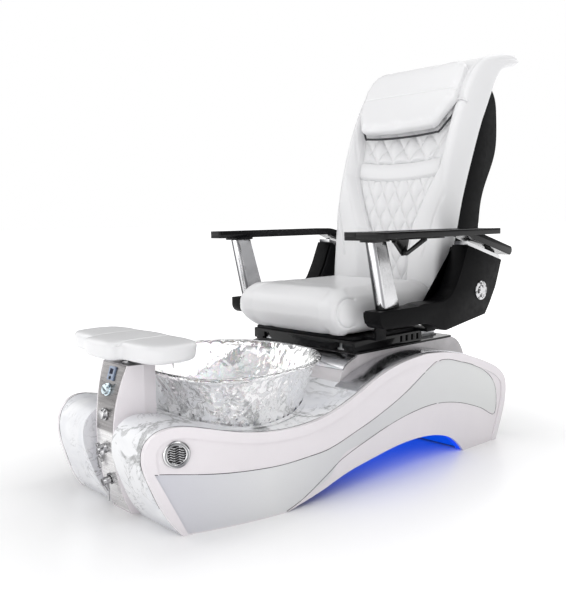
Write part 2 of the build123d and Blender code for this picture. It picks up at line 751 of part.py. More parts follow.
# The same outline about 6 mm further in, for the cover's hollow and the plate beside it.
COVER_INNER = [
    (614, 495), (383, 460), (346, 469), (307, 487), (262, 495), (72, 497), (49, 504), (42, 528),
    (42, 542), (230, 544), (331, 549), (394, 558), (430, 584), (454, 617), (476, 656), (510, 736),
    (714, 677), (702, 646), (678, 587), (641, 530),
]


def cover_face(plane):
    """The arm cover's outline."""
    with BuildSketch(plane) as face:
        with BuildLine():
            Polyline(COVER_UNDER[0], COVER_UNDER[1])
            Spline(*COVER_UNDER[1:5])
            Line(COVER_UNDER[4], COVER_UNDER[5])
            ThreePointArc(COVER_UNDER[5], (44, 500), (35, 528))
            Line((35, 528), COVER_TOP[0])
            Line(COVER_TOP[0], COVER_TOP[1])
            Spline(*COVER_TOP[1:])
            Polyline(COVER_TOP[-1], *COVER_REAR)
        make_face()
    return face.sketch


with BuildPart() as arm_cover_right:
    extrude(cover_face(Plane.YZ.offset(ARM_IN)), amount=ARM_OUT - ARM_IN)
    hollow = polygon(Plane.YZ.offset(ARM_IN), *COVER_INNER)
    extrude(hollow, amount=ARM_OUT - ARM_IN - 6.0, mode=Mode.SUBTRACT)
arm_cover_left = twin_of(arm_cover_right)

EAR = [(640, 640), (690, 640), (790, 698), (790, 726), (762, 726), (640, 668)]
with BuildPart() as side_plate:
    with BuildSketch(Plane.YZ.offset(SIDE_PLATE_IN)):
        add(polygon(Plane.XY, *COVER_INNER))
        add(polygon(Plane.XY, *EAR))
    extrude(amount=SIDE_PLATE_T)
    with BuildSketch(Plane.YZ.offset(SIDE_PLATE_IN - 1)):
        with Locations((RECLINE_Y, RECLINE_Z)):
            Circle(SHAFT_R + RUN_CLEAR)
        with Locations((LIFT_Y, LIFT_Z)):
            Circle(LIFT_PIN_R + RUN_CLEAR)
    extrude(amount=SIDE_PLATE_T + 2, mode=Mode.SUBTRACT)

PAN_Z = CAR_Z1 + GAP
with BuildPart() as seat_frame:
    add(side_plate.part)
    mirror(side_plate.part, about=Plane.YZ)
    add(block(-245, 245, 50, 440, PAN_Z, PAN_Z + 10))
    for y in (130, 400):
        add(block(-SIDE_PLATE_IN, SIDE_PLATE_IN, y - 25, y + 25, PAN_Z, PAN_Z + 10))
        for side in (-1, 1):
            x = side * (SIDE_PLATE_IN - 4)
            add(block(x - 4, x + 4, y - 25, y + 25, PAN_Z, 520))
    add(block(-60, 60, 430, 470, PAN_Z, PAN_Z + 10))

POCKET = (62.0, 150.0, 515.0)    # half width, front and top of the recline motor's pocket
with BuildPart() as seat_cushion:
    with BuildSketch(Plane.XY.offset(SEAT_Z0)):
        with BuildLine():
            Polyline((SEAT_HALF, 6), (SEAT_HALF, 452), (-SEAT_HALF, 452), (-SEAT_HALF, 6))
            Spline((-SEAT_HALF, 6), (-190, -34), (0, -48), (190, -34), (SEAT_HALF, 6))
        make_face()
    extrude(amount=SEAT_Z1 - SEAT_Z0)
    fillet(edges().filter_by(Axis.Z), 18.0)
    fillet(faces().sort_by(Axis.Z)[-1].edges(), 30.0)
    fillet(faces().sort_by(Axis.Z)[0].edges(), 14.0)
    add(
        block(-POCKET[0], POCKET[0], POCKET[1], 500, SEAT_Z0 - 5, POCKET[2]),
        mode=Mode.SUBTRACT,
    )

# Chrome post: a round tube with a fin behind it, leaning from the arm cover up to the armrest.
POST_FOOT = (340.0, 83.0, 550.2)
POST_HEAD = (341.0, 35.0, 768.5)
TUBE_R = 20.0


def post_section(at, fin):
    """Plan section of the post: the tube's circle running into a fin of the given length."""
    x, y, z = at
    with BuildSketch(Plane.XY.offset(z)) as section:
        with BuildLine():
            ThreePointArc((x + TUBE_R, y), (x, y - TUBE_R), (x - TUBE_R, y))
            Line((x - TUBE_R, y), (x - 7, y + TUBE_R + fin))
            Line((x - 7, y + TUBE_R + fin), (x + 7, y + TUBE_R + fin))
            Line((x + 7, y + TUBE_R + fin), (x + TUBE_R, y))
        make_face()
    return section.sketch


with BuildPart() as post_right:
    loft([post_section(POST_FOOT, 62.0), post_section(POST_HEAD, 44.0)])
front_posts = pair_of(post_right)

SLOPE = (682 - 744) / (722 - 507)


def slope_z(y, lift):
    """Height above the arm cover's sloping top."""
    return 744 + SLOPE * (y - 507) + lift


with BuildPart() as band_right:
    band_side = polygon(
        Plane.YZ,
        (512, slope_z(512, 0.4)),
        (718, slope_z(718, 0.4)),
        (718, slope_z(718, 14.0)),
        (512, slope_z(512, 14.0)),
    )
    extrude(band_side, amount=ARM_OUT - 5)
    add(block(-1, ARM_IN + 5, -REACH, REACH, 0, REACH), mode=Mode.SUBTRACT)
    with BuildSketch(Plane(origin=(343, 532, slope_z(532, 10.0)), z_dir=(0, 0, 1))):
        Circle(11.0)
    extrude(amount=14.0, taper=12)
arm_bands = pair_of(band_right)

with BuildPart() as cap_right:
    with BuildSketch(Plane.YZ.offset(ARM_OUT + 0.2)):
        with Locations((RECLINE_Y, RECLINE_Z)):
            Circle(35.0)
    extrude(amount=3.0)
    fillet(faces().sort_by(Axis.X)[-1].edges(), 1.2)
    with BuildSketch(Plane.YZ.offset(ARM_OUT + 3.2)):
        with Locations((RECLINE_Y, RECLINE_Z)):
            Circle(20.0)
    extrude(amount=4.0, taper=30)
cover_caps = pair_of(cap_right)

with BuildPart() as recline_shaft:
    add(rod((-312, RECLINE_Y, RECLINE_Z), (312, RECLINE_Y, RECLINE_Z), SHAFT_R))

LEVER_LEN = 87.0
ROD_Z = RECLINE_Z - LEVER_LEN
with BuildPart() as recline_actuator:
    add(block(-34, 34, 165, 260, PAN_Z + 10.5, ROD_Z + 20))
    add(rod((0, 260, ROD_Z), (0, 400, ROD_Z), 16.0, 10.0))

with BuildPart() as recline_rod:
    add(rod((0, 320, ROD_Z), (0, 562, ROD_Z), 9.9))
    for side in (-1, 1):
        add(block(side * 13 - 4, side * 13 + 4, 548, 606, ROD_Z - 18, ROD_Z + 22))
    add(block(-17, 17, 548, 562, ROD_Z - 18, ROD_Z + 22))
    for side in (-1, 1):
        add(
            block(side * 13 - 5, side * 13 + 5, RECLINE_Y - 7, RECLINE_Y + 7, ROD_Z - 10, ROD_Z + 16),
            mode=Mode.SUBTRACT,
        )

# ---------------------------------------------------------------- armrests
ARM_SIDE_TOP = [(-65, ARM_TOP), (500, ARM_TOP)]
ARM_TAIL = [(545, 796), (786, 728)]
with BuildPart() as armrest_right:
    with BuildSketch(Plane.YZ.offset(ARM_IN)):
        with BuildLine():
            Line(ARM_SIDE_TOP[0], ARM_SIDE_TOP[1])
            Spline(ARM_SIDE_TOP[1], (523, 801), ARM_TAIL[0])
            Line(ARM_TAIL[0], ARM_TAIL[1])
            ThreePointArc(ARM_TAIL[1], (791, 709), (776, 697))
            Line((776, 697), (545, 762))
            Line((545, 762), (505, ARM_UNDER))
            Line((505, ARM_UNDER), (-65, ARM_UNDER))
            Line((-65, ARM_UNDER), (-65, ARM_TOP))
        make_face()
    extrude(amount=ARM_OUT - ARM_IN)
    fillet(edges().filter_by(Axis.Z).sort_by(Axis.Y)[:2], 14.0)
    with BuildSketch(Plane.XY.offset(ARM_UNDER - 7.5)):
        with Locations((341, 50)):
            SlotOverall(118, 52, rotation=90)
    extrude(amount=8.0)
    with BuildSketch(Plane.YZ.offset(ARM_IN - 1)):
        with Locations((LIFT_Y, LIFT_Z)):
            Circle(LIFT_PIN_R + RUN_CLEAR)
    extrude(amount=50.0, mode=Mode.SUBTRACT)

armrest_left = twin_of(armrest_right)

with BuildPart() as pin_right:
    add(rod((SIDE_PLATE_IN - 2, LIFT_Y, LIFT_Z), (ARM_IN + 44, LIFT_Y, LIFT_Z), LIFT_PIN_R))
arm_pins = pair_of(pin_right)

# ---------------------------------------------------------------- tray on the +X armrest
TRAY_IN = 384.0
TRAY_OUT = 500.0
HINGE_X = 380.4
HINGE_Z = 780.0
KNUCKLE_R = 3.0
TRAY_Z0 = 784.0
TRAY_T = 20.0
with BuildPart() as tray_board:
    with BuildSketch(Plane.XY.offset(TRAY_Z0)):
        with Locations(((TRAY_IN + TRAY_OUT) / 2, 222)):
            Rectangle(TRAY_OUT - TRAY_IN, 614)
    extrude(amount=TRAY_T)
    fillet(edges().filter_by(Axis.Z).sort_by(Axis.X)[-2:], 16.0)
    fillet(faces().sort_by(Axis.Z)[-1].edges(), 3.0)
    add(block(TRAY_IN + 14, TRAY_OUT - 16, -60, 500, TRAY_Z0 + TRAY_T - 3, REACH), mode=Mode.SUBTRACT)
    for y in (126, 376):
        add(rod((HINGE_X, y - 14, HINGE_Z), (HINGE_X, y + 14, HINGE_Z), KNUCKLE_R))
        add(block(HINGE_X, TRAY_IN + 4, y - 14, y + 14, HINGE_Z, TRAY_Z0 + 2))

BRACKET_T = 6.0
BRACKET_TOP = ARM_UNDER - 0.6
with BuildPart() as tray_bracket:
    with BuildSketch(Plane.YZ.offset(352)):
        add(polygon(Plane.XY, (112, BRACKET_TOP), (200, BRACKET_TOP), (200, 766), (186, 722), (168, 720)))
    extrude(amount=BRACKET_T)
    with BuildSketch(Plane.YZ.offset(352 + BRACKET_T)):
        add(polygon(Plane.XY, (168, 726), (184, 720), (292, 768), (284, BRACKET_TOP), (272, BRACKET_TOP)))
        with Locations((176, 732)):
            Circle(11.0)
    extrude(amount=BRACKET_T)
    for y, z in ((176, 732), (124, 768), (276, 769)):
        add(rod((352, y, z), (352 + 2 * BRACKET_T + 2, y, z), 5.0))
    add(block(345, HINGE_X + 2.2, 112, 362, BRACKET_TOP - 3, BRACKET_TOP))
    add(block(369, HINGE_X + 2.2, 80, 113, BRACKET_TOP - 3, BRACKET_TOP))
    for y in (96, 346):
        add(block(HINGE_X - 2.8, HINGE_X + 2.2, y - 14, y + 14, BRACKET_TOP - 3, HINGE_Z))
        add(rod((HINGE_X, y - 14, HINGE_Z), (HINGE_X, y + 14, HINGE_Z), KNUCKLE_R))
    add(
        block(HINGE_X - 3.6, HINGE_X + 3, 111, 141, BRACKET_TOP - 4, BRACKET_TOP + 1),
        mode=Mode.SUBTRACT,
    )

# ---------------------------------------------------------------- back
RAIL_PLANE = Plane(
    origin=(0, RAIL_Y, RAIL_Z),
    x_dir=(1, 0, 0),
    z_dir=(0, sin(radians(RAIL_TILT)), cos(radians(RAIL_TILT))),
)


def on_rail(x, back, along):
    """A point from its place across, behind and along the line of the back frame's rails."""
    s, c = sin(radians(RAIL_TILT)), cos(radians(RAIL_TILT))
    return (x, RAIL_Y + back * c + along * s, RAIL_Z - back * s + along * c)


FRAME_LEN = 560.0
with BuildPart() as back_frame:
    for x in (-175, 175):
        add(rod(on_rail(x, 0, 0), on_rail(x, 0, FRAME_LEN), 12.5))
    for x in (-95, 95):
        add(rod(on_rail(x, 0, 0), on_rail(x, 0, FRAME_LEN), 7.0))
    for along in (0, FRAME_LEN):
        reach = 274 if along == 0 else 175
        add(rod(on_rail(-reach, 0, along), on_rail(reach, 0, along), 11.0))
    for side in (-1, 1):
        with BuildSketch(Plane.YZ.offset(side * 274.5 - 4)):
            add(
                polygon(
                    Plane.XY, (572, 570), (604, 570), (656, 696), (648, 712), (626, 712), (622, 690)
                )
            )
            with Locations((RECLINE_Y, RECLINE_Z)):
                Circle(19.0)
                Circle(SHAFT_R + RUN_CLEAR, mode=Mode.SUBTRACT)
        extrude(amount=8.0)
    with BuildSketch(Plane.YZ.offset(-7)):
        add(
            polygon(
                Plane.XY, (576, ROD_Z), (600, ROD_Z), (606, 575), (652, 690), (645, 700), (628, 700)
            )
        )
        with Locations((RECLINE_Y, ROD_Z)):
            Circle(12.0)
        with Locations((RECLINE_Y, RECLINE_Z)):
            Circle(20.0)
            Circle(SHAFT_R + RUN_CLEAR, mode=Mode.SUBTRACT)
    extrude(amount=14.0)
    add(rod((-18, RECLINE_Y, ROD_Z), (18, RECLINE_Y, ROD_Z), 4.5))

# Side view of the back cushion, (y, z): its front from the seat to the crown, the rearward
# curl at the top, and its rear down again.
BACK_FRONT = [
    (468, 602), (471, 640), (478, 710), (487, 801), (504, 917), (543, 1064), (591, 1196), (631, 1278),
    (679, 1350), (728, 1408), (775, 1438), (834, 1460), (900, 1474), (960, 1478),
]
BACK_TIP = [(960, 1478), (1004, 1470), (1012, 1453), (989, 1432)]
BACK_REAR = [
    (989, 1432), (925, 1413), (871, 1378), (837, 1331), (812, 1281), (754, 1172), (697, 1036),
    (650, 917), (619, 818), (592, 710), (575, 655), (558, 602),
]
PILLOW_FRONT = [(570, 1180), (592, 1225), (628, 1290), (674, 1362), (720, 1422), (742, 1440)]
PILLOW_HALF = 232.0
PILLOW_DEPTH = 52.0
pillow_rear = [(y + PILLOW_DEPTH * 0.86, z - PILLOW_DEPTH * 0.5) for y, z in PILLOW_FRONT]


def pillow_side(grow):
    """The head pillow's side view, grown all round."""
    front = stretched(offset_points(PILLOW_FRONT, grow), grow)
    rear = stretched(offset_points(pillow_rear, -grow), grow)
    return region(Plane.YZ, front, [front[-1], rear[-1]], list(reversed(rear)))


with BuildPart() as head_pillow:
    extrude(pillow_side(0.0), amount=PILLOW_HALF, both=True)

with BuildPart() as back_cushion:
    extrude(region(Plane.YZ, BACK_FRONT, BACK_TIP, BACK_REAR), amount=BACK_HALF, both=True)
    extrude(pillow_side(2.0), amount=PILLOW_HALF + 2, both=True, mode=Mode.SUBTRACT)
    trough = [(y + 38, z - 8) for y, z in BACK_FRONT[:7]]
    trough_side = region(Plane.YZ, trough, [(560, 1290), (380, 1290)], [(380, 560), trough[0]])
    extrude(trough_side, amount=150.0, both=True, mode=Mode.SUBTRACT)

SHELL_HALF = 232.0
SHELL_T = 5.0
SHELL_OUT = [
    (772, 742), (786, 810), (800, 895), (825, 959), (866, 1030), (896, 1096), (905, 1160),
    (903, 1230), (894, 1292), (868, 1332),
]
shell_front = [(y + 3, z) for y, z in BACK_REAR[3:9]]
with BuildPart() as back_shell:
    shell_side = region(
        Plane.YZ, SHELL_OUT, [SHELL_OUT[-1], shell_front[0]], shell_front, [shell_front[-1], (610, 742)]
    )
    extrude(shell_side, amount=SHELL_HALF, both=True)
    inner_out = offset_points(SHELL_OUT, SHELL_T)
    hollow_side = region(
        Plane.YZ,
        [(y, min(z, 1322)) for y, z in inner_out],
        [(inner_out[-1][0], 1322), (560, 1322)],
        [(560, 700), (inner_out[0][0], 700)],
    )
    extrude(hollow_side, amount=SHELL_HALF - SHELL_T, both=True, mode=Mode.SUBTRACT)

with BuildPart() as massage_carriage:
    with BuildSketch(RAIL_PLANE.offset(MASSAGE_AT - 50)):
        Rectangle(250, 30)
        with Locations((-95, 0), (95, 0)):
            Circle(7.0 + RUN_CLEAR, mode=Mode.SUBTRACT)
    extrude(amount=100.0)
    for x in (-80, 0, 80):
        with BuildSketch(RAIL_PLANE.offset(MASSAGE_AT - 14)):
            with Locations((x, -27)):
                Rectangle(8, 26)
        extrude(amount=28.0)
    bore_start = on_rail(-REACH, -33, MASSAGE_AT)
    bore_end = on_rail(REACH, -33, MASSAGE_AT)
    add(rod(bore_start, bore_end, 5.0 + RUN_CLEAR), mode=Mode.SUBTRACT)

ROLLER_R = 17.0
with BuildPart() as massage_rollers:
    add(rod(on_rail(-86, -33, MASSAGE_AT), on_rail(86, -33, MASSAGE_AT), 5.0))
    for x in (-40, 40):
        add(rod(on_rail(x - 24, -33, MASSAGE_AT), on_rail(x + 24, -33, MASSAGE_AT), ROLLER_R))

# ---------------------------------------------------------------- write the pieces
save(tub, "tub")
save(side_panel_left, "side_panel_left")
save(side_panel_right, "side_panel_right")
save(side_insets, "side_insets")
save(vent_grilles, "vent_grilles")
save(deck_rails, "deck_rails")
save(arch_liner, "arch_liner")
save(led_strips, "led_strips")
save(levelling_feet, "levelling_feet")
save(base_frame, "base_frame")
save(pedestal_shell, "pedestal_shell")
save(pedestal_trim, "pedestal_trim")
save(top_plate, "top_plate")
save(seat_rails, "seat_rails")
save(slide_actuator, "slide_actuator")
save(pillar_shell, "pillar_shell")
save(control_strip, "control_strip")
save(display_unit, "display_unit")
save(footrest_sleeve, "footrest_sleeve")
save(basin, "basin")
save(drain_fitting, "drain_fitting")
save(drain_pipe, "drain_pipe")
save(jet_motor, "jet_motor")
save(supply_hoses, "supply_hoses")
save(power_box, "power_box")
save(service_panel, "service_panel")
save(spray_valve, "spray_valve")
save(temperature_knob, "temperature_knob")
save(flow_knob, "flow_knob")
save(cross_handle, "cross_handle")
save(drain_lever, "drain_lever")
save(drain_stopper, "drain_stopper")
save(spray_handle, "spray_handle")
save(panel_button, "panel_button")
save(footrest_post, "footrest_post")
save(footrest_bracket, "footrest_bracket")
save(footrest_pad, "footrest_pad")
save(seat_carriage, "seat_carriage")
save(slide_rod, "slide_rod")
save(seat_frame, "seat_frame")
save(seat_cushion, "seat_cushion")
save(arm_cover_left, "arm_cover_left")
save(arm_cover_right, "arm_cover_right")
save(front_posts, "front_posts")
save(cover_caps, "cover_caps")
save(arm_bands, "arm_bands")
save(recline_shaft, "recline_shaft")
save(recline_actuator, "recline_actuator")
save(recline_rod, "recline_rod")
save(armrest_left, "armrest_left")
save(armrest_right, "armrest_right")
save(arm_pins, "arm_pins")
save(tray_board, "tray_board")
save(tray_bracket, "tray_bracket")
save(back_frame, "back_frame")
save(back_shell, "back_shell")
save(back_cushion, "back_cushion")
save(head_pillow, "head_pillow")
save(massage_carriage, "massage_carriage")
save(massage_rollers, "massage_rollers")
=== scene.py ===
import json
import math

import bmesh
import bpy
import numpy as np
from mathutils import Matrix, Vector


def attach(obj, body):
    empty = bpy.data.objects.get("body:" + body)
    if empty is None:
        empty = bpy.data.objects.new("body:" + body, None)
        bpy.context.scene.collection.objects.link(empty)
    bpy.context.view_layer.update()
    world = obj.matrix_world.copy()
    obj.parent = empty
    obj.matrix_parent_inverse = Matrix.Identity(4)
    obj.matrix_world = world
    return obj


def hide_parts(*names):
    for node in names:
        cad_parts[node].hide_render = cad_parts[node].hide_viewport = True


# Pedicure spa chair. Lengths in the tables below are millimetres in the CAD frame.
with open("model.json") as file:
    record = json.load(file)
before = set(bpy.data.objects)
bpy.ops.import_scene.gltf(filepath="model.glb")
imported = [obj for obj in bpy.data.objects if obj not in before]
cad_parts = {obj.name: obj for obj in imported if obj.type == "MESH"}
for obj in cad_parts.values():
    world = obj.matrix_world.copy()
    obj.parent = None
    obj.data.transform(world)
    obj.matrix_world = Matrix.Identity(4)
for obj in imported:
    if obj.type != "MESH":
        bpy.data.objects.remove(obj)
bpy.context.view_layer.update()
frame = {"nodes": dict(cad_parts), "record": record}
nodes = frame["nodes"]
bodies = frame["record"]["behaviour"]["bodies"]
body_of = {node: body for body, members in bodies.items() for node in members}
slot_of = {s["node"]: s["material_slot"] for s in frame["record"]["subparts"]}
scene = bpy.context.scene


# ------------------------------ camera
CAMERA_TURN = (47.976, 5.878, -0.917)  # azimuth, downward pitch and roll, degrees
CAMERA_AT = (1.96114, -1.80508, 0.85353)  # metres
LENS_MM = 46.84
SENSOR_MM = 36.0


def make_camera():
    azimuth, pitch, roll = (math.radians(a) for a in CAMERA_TURN)
    forward = Vector(
        (-math.sin(azimuth) * math.cos(pitch), math.cos(azimuth) * math.cos(pitch), -math.sin(pitch))
    )
    right = Vector((math.cos(azimuth), math.sin(azimuth), 0))
    up = right.cross(forward)
    turned_right = right * math.cos(roll) + up * math.sin(roll)
    turned_up = -right * math.sin(roll) + up * math.cos(roll)
    data = bpy.data.cameras.new("camera")
    data.lens = LENS_MM
    data.sensor_width = SENSOR_MM
    camera = bpy.data.objects.new("camera", data)
    turn = Matrix((turned_right, turned_up, -forward)).transposed()
    camera.matrix_world = Matrix.Translation(CAMERA_AT) @ turn.to_4x4()
    scene.collection.objects.link(camera)
    scene.camera = camera


make_camera()


# ------------------------------ material helpers
def fill_ramp(node, stops):
    """Give a colour ramp its stops, each a place and a grey tone or a colour."""
    elements = node.color_ramp.elements
    while len(elements) < len(stops):
        elements.new(0.5)
    for element, (at, tone) in zip(elements, stops):
        element.position = at
        element.color = (*tone, 1) if hasattr(tone, "__len__") else (tone, tone, tone, 1)


class Look:
    """A Principled material under construction, with procedural colour, roughness and bump."""

    def __init__(self, name, color, rough=0.4, metal=0.0, **sockets):
        self.mat = bpy.data.materials.new(name)
        self.mat.use_nodes = True
        self.mat.diffuse_color = (*color, 1)
        self.tree = self.mat.node_tree
        self.shader = self.tree.nodes["Principled BSDF"]
        self.put("Base Color", (*color, 1))
        self.put("Roughness", rough)
        self.put("Metallic", metal)
        for key, value in sockets.items():
            self.put(key.replace("_", " "), value)
        self.color, self.rough = color, rough
        self.coords = self.add("ShaderNodeTexCoord").outputs["Object"]
        self.last_bump = None

    def put(self, socket, value):
        self.shader.inputs[socket].default_value = value

    def add(self, kind, **settings):
        node = self.tree.nodes.new(kind)
        for key, value in settings.items():
            setattr(node, key, value)
        return node

    def link(self, a, b):
        self.tree.links.new(a, b)

    def stretched(self, scale):
        mapping = self.add("ShaderNodeMapping")
        mapping.inputs["Scale"].default_value = scale
        self.link(self.coords, mapping.inputs["Vector"])
        return mapping.outputs["Vector"]

    def noise(self, scale, detail=4.0, rough=0.55, stretch=(1, 1, 1), warp=0.0):
        node = self.add("ShaderNodeTexNoise")
        node.inputs["Scale"].default_value = scale
        node.inputs["Detail"].default_value = detail
        node.inputs["Roughness"].default_value = rough
        node.inputs["Distortion"].default_value = warp
        self.link(self.stretched(stretch), node.inputs["Vector"])
        return node.outputs["Fac"]

    def cells(self, scale, feature="DISTANCE_TO_EDGE"):
        node = self.add("ShaderNodeTexVoronoi", feature=feature)
        node.inputs["Scale"].default_value = scale
        self.link(self.coords, node.inputs["Vector"])
        return node.outputs["Distance"]

    def ramp(self, value, *stops):
        node = self.add("ShaderNodeValToRGB")
        fill_ramp(node, stops)
        self.link(value, node.inputs["Fac"])
        return node.outputs["Color"]

    def mix(self, a, b, factor, blend="MIX"):
        node = self.add("ShaderNodeMix", data_type="RGBA", blend_type=blend)
        for socket, value in ((6, a), (7, b), (0, factor)):
            if hasattr(value, "links"):
                self.link(value, node.inputs[socket])
            else:
                node.inputs[socket].default_value = value
        return node.outputs[2]

    def paint(self, value):
        self.link(value, self.shader.inputs["Base Color"])
        return self

    def mottle(self, scale, amount, **noise):
        """Colour that varies a little over the surface."""
        dark = tuple(c * (1 - amount) for c in self.color)
        light = tuple(min(1.0, c * (1 + amount * 0.6)) for c in self.color)
        return self.paint(self.ramp(self.noise(scale, **noise), (0.35, dark), (0.65, light)))

    def worn(self, scale, spread, **noise):
        """Roughness that varies over the surface."""
        low, high = max(0.02, self.rough - spread), self.rough + spread
        tones = self.ramp(self.noise(scale, **noise), (0.3, low), (0.7, high))
        self.link(tones, self.shader.inputs["Roughness"])
        return self

    def bump(self, height, strength=0.2, distance=0.0005):
        node = self.add("ShaderNodeBump")
        node.inputs["Strength"].default_value = strength
        node.inputs["Distance"].default_value = distance
        self.link(height, node.inputs["Height"])
        if self.last_bump:
            self.link(self.last_bump, node.inputs["Normal"])
        self.last_bump = node.outputs["Normal"]
        self.link(self.last_bump, self.shader.inputs["Normal"])
        return self

    def along(self, axis, low, high, source="Object"):
        """0 at low and 1 at high, along an axis of the piece (metres) or of its normals."""
        split = self.add("ShaderNodeSeparateXYZ")
        self.link(self.add("ShaderNodeTexCoord").outputs[source], split.inputs[0])
        return self.remap(split.outputs[axis], low, high)

    def remap(self, value, low, high, to_low=0.0, to_high=1.0):
        """Value stretched from low..high to to_low..to_high, and held at both ends."""
        node = self.add("ShaderNodeMapRange")
        limits = {"From Min": low, "From Max": high, "To Min": to_low, "To Max": to_high}
        for socket, limit in limits.items():
            node.inputs[socket].default_value = limit
        self.link(value, node.inputs["Value"])
        return node.outputs["Result"]


def marble():
    """White stone with cloudy patches and two sizes of grey veins."""
    look = Look("marble", (0.84, 0.845, 0.86), 0.34, Coat_Weight=0.15, Coat_Roughness=0.15)
    clouds = look.noise(5, 6, 0.6, warp=0.6)
    tones = look.ramp(clouds, (0.35, (0.72, 0.73, 0.77)), (0.6, (0.87, 0.875, 0.89)))
    for scale, width, tone in ((4.5, 0.035, 0.34), (10.0, 0.02, 0.45)):
        vein = look.add("ShaderNodeMath", operation="SUBTRACT")
        look.link(look.noise(scale, 7, 0.62, warp=1.1), vein.inputs[0])
        vein.inputs[1].default_value = 0.5
        away = look.add("ShaderNodeMath", operation="ABSOLUTE")
        look.link(vein.outputs[0], away.inputs[0])
        mask = look.ramp(away.outputs[0], (0.0, tone), (width, 1.0))
        patches = look.ramp(look.noise(scale * 0.5, 3), (0.45, 1.0), (0.58, 0.0))
        tones = look.mix(tones, look.mix(mask, (1, 1, 1, 1), patches), 1.0, "MULTIPLY")
    return look.paint(tones).worn(30, 0.04).mat


def pearl(name, color, cloud):
    """Glossy acrylic whose colour sinks to `cloud` of itself in soft clouds."""
    look = Look(name, color, 0.2, Coat_Weight=0.6, Coat_Roughness=0.04, Sheen_Weight=0.05)
    low = tuple(c * cloud for c in color)
    tones = look.ramp(look.noise(3.5, 5, 0.6, warp=0.8), (0.36, low), (0.62, color))
    flakes = look.ramp(look.cells(900, "F1"), (0.0, 1.0), (0.9, 0.96))
    look.paint(look.mix(tones, flakes, 1.0, "MULTIPLY")).worn(12, 0.03)
    return look.bump(look.noise(6, 2), 0.04, 0.001).mat


def inlay():
    """Satin silver panel with a painted reflection: it turns from cool to light and back along its
    length.
    """
    look = Look("silver_inlay", (0.70, 0.70, 0.72), 0.34, 0.25, Coat_Weight=0.25, Coat_Roughness=0.1)
    # Painted reflection: lighter and darker stretches of colour along the panel's length.
    stops = ((0.0, (0.60, 0.60, 0.655)), (0.22, (0.76, 0.765, 0.775)), (0.5, (0.67, 0.67, 0.685)))
    painted_sheen = look.ramp(look.along("Y", -0.74, 0.72), *stops, (1.0, (0.74, 0.75, 0.745)))
    grain = look.ramp(look.noise(700, 3), (0.3, 0.95), (0.7, 1.0))
    look.paint(look.mix(painted_sheen, grain, 1.0, "MULTIPLY")).worn(40, 0.05)
    return look.bump(look.noise(500, 2), 0.03, 0.0001).mat


def leather():
    """Soft, smooth synthetic leather."""
    look = Look("white_leather", (0.745, 0.745, 0.755), 0.35, Coat_Weight=0.2, Coat_Roughness=0.15)
    tones = look.ramp(look.noise(3, 0), (0.1, (0.725, 0.725, 0.735)), (0.9, (0.755, 0.755, 0.765)))
    look.paint(tones).worn(18, 0.03, detail=1)
    look.bump(look.noise(75, 2), 0.05, 0.0005)
    return look.bump(look.noise(9, 2), 0.05, 0.002).mat


def strip_steel():
    """Brushed steel, dark on the upper part of the control strip and bright below."""
    look = Look("brushed_strip", (0.42, 0.40, 0.40), 0.3, 1.0, Anisotropic=0.5)
    streaks = look.ramp(look.noise(160, 3, stretch=(0.05, 1, 1)), (0.3, 0.82), (0.7, 1.08))
    base = look.mix((0.80, 0.79, 0.79, 1), (0.30, 0.29, 0.29, 1), look.along("Z", 0.243, 0.252))
    look.paint(look.mix(base, streaks, 1.0, "MULTIPLY")).worn(200, 0.08, stretch=(0.05, 1, 1))
    return look.bump(look.noise(700, 2, stretch=(0.03, 1, 1)), 0.06, 0.0002).mat


def metal(name, color, rough):
    look = Look(name, color, rough, 1.0)
    look.mottle(30, 0.04).worn(90, rough * 0.35, detail=6)
    return look.bump(look.noise(200, 2, stretch=(1, 0.2, 1)), 0.01, 0.0001).mat


def mirror_chrome(name="chrome", rough=0.07, dapple=0.0):
    """Plating with painted reflections: its colour turns from dark to white with the side that the
    surface faces.
    """
    look = Look(name, (0.85, 0.85, 0.86), rough, 1.0)
    # Painted reflection: dark and light bands of colour, chosen by the side that the surface faces.
    facing = look.add("ShaderNodeVectorMath", operation="DOT_PRODUCT")
    look.link(look.add("ShaderNodeTexCoord").outputs["Normal"], facing.inputs[0])
    facing.inputs[1].default_value = (0.62, 0.70, 0.34)
    turn = look.remap(facing.outputs["Value"], -1.0, 1.0)
    bands = (
        (0.02, (0.07, 0.07, 0.075)), (0.12, (0.05, 0.05, 0.055)), (0.22, (0.80, 0.80, 0.81)),
        (0.46, (0.88, 0.88, 0.89)), (0.56, (0.30, 0.30, 0.31)), (0.66, (0.22, 0.22, 0.23)),
        (0.78, (0.66, 0.66, 0.67)), (0.90, (0.52, 0.52, 0.53)), (1.0, (0.10, 0.10, 0.10)),
    )
    tones = look.ramp(turn, *bands)
    wear = look.ramp(look.noise(20, 1), (0.1, 0.93), (0.9, 1.0))
    tones = look.mix(tones, wear, 1.0, "MULTIPLY")
    if dapple:
        dark = look.ramp(look.noise(dapple, 2), (0.40, 0.10), (0.50, 1.0))
        tones = look.mix(tones, dark, 1.0, "MULTIPLY")
    look.paint(tones).worn(90, rough * 0.3, detail=4)
    return look.bump(look.noise(160, 2), 0.01, 0.0001).mat


def plastic(name, color, rough, grain=0.0, coat=0.0, shine=0.5):
    look = Look(name, color, rough, Coat_Weight=coat, Coat_Roughness=0.05, Specular_IOR_Level=shine)
    look.mottle(25, 0.10, detail=5).worn(45, rough * 0.25, detail=5)
    if grain:
        look.bump(look.cells(1400), grain, 0.0003)
    return look.bump(look.noise(220, 4), 0.04, 0.0002).mat


FILM_NM = (320.0, 720.0)  # thinnest and thickest film on the glass


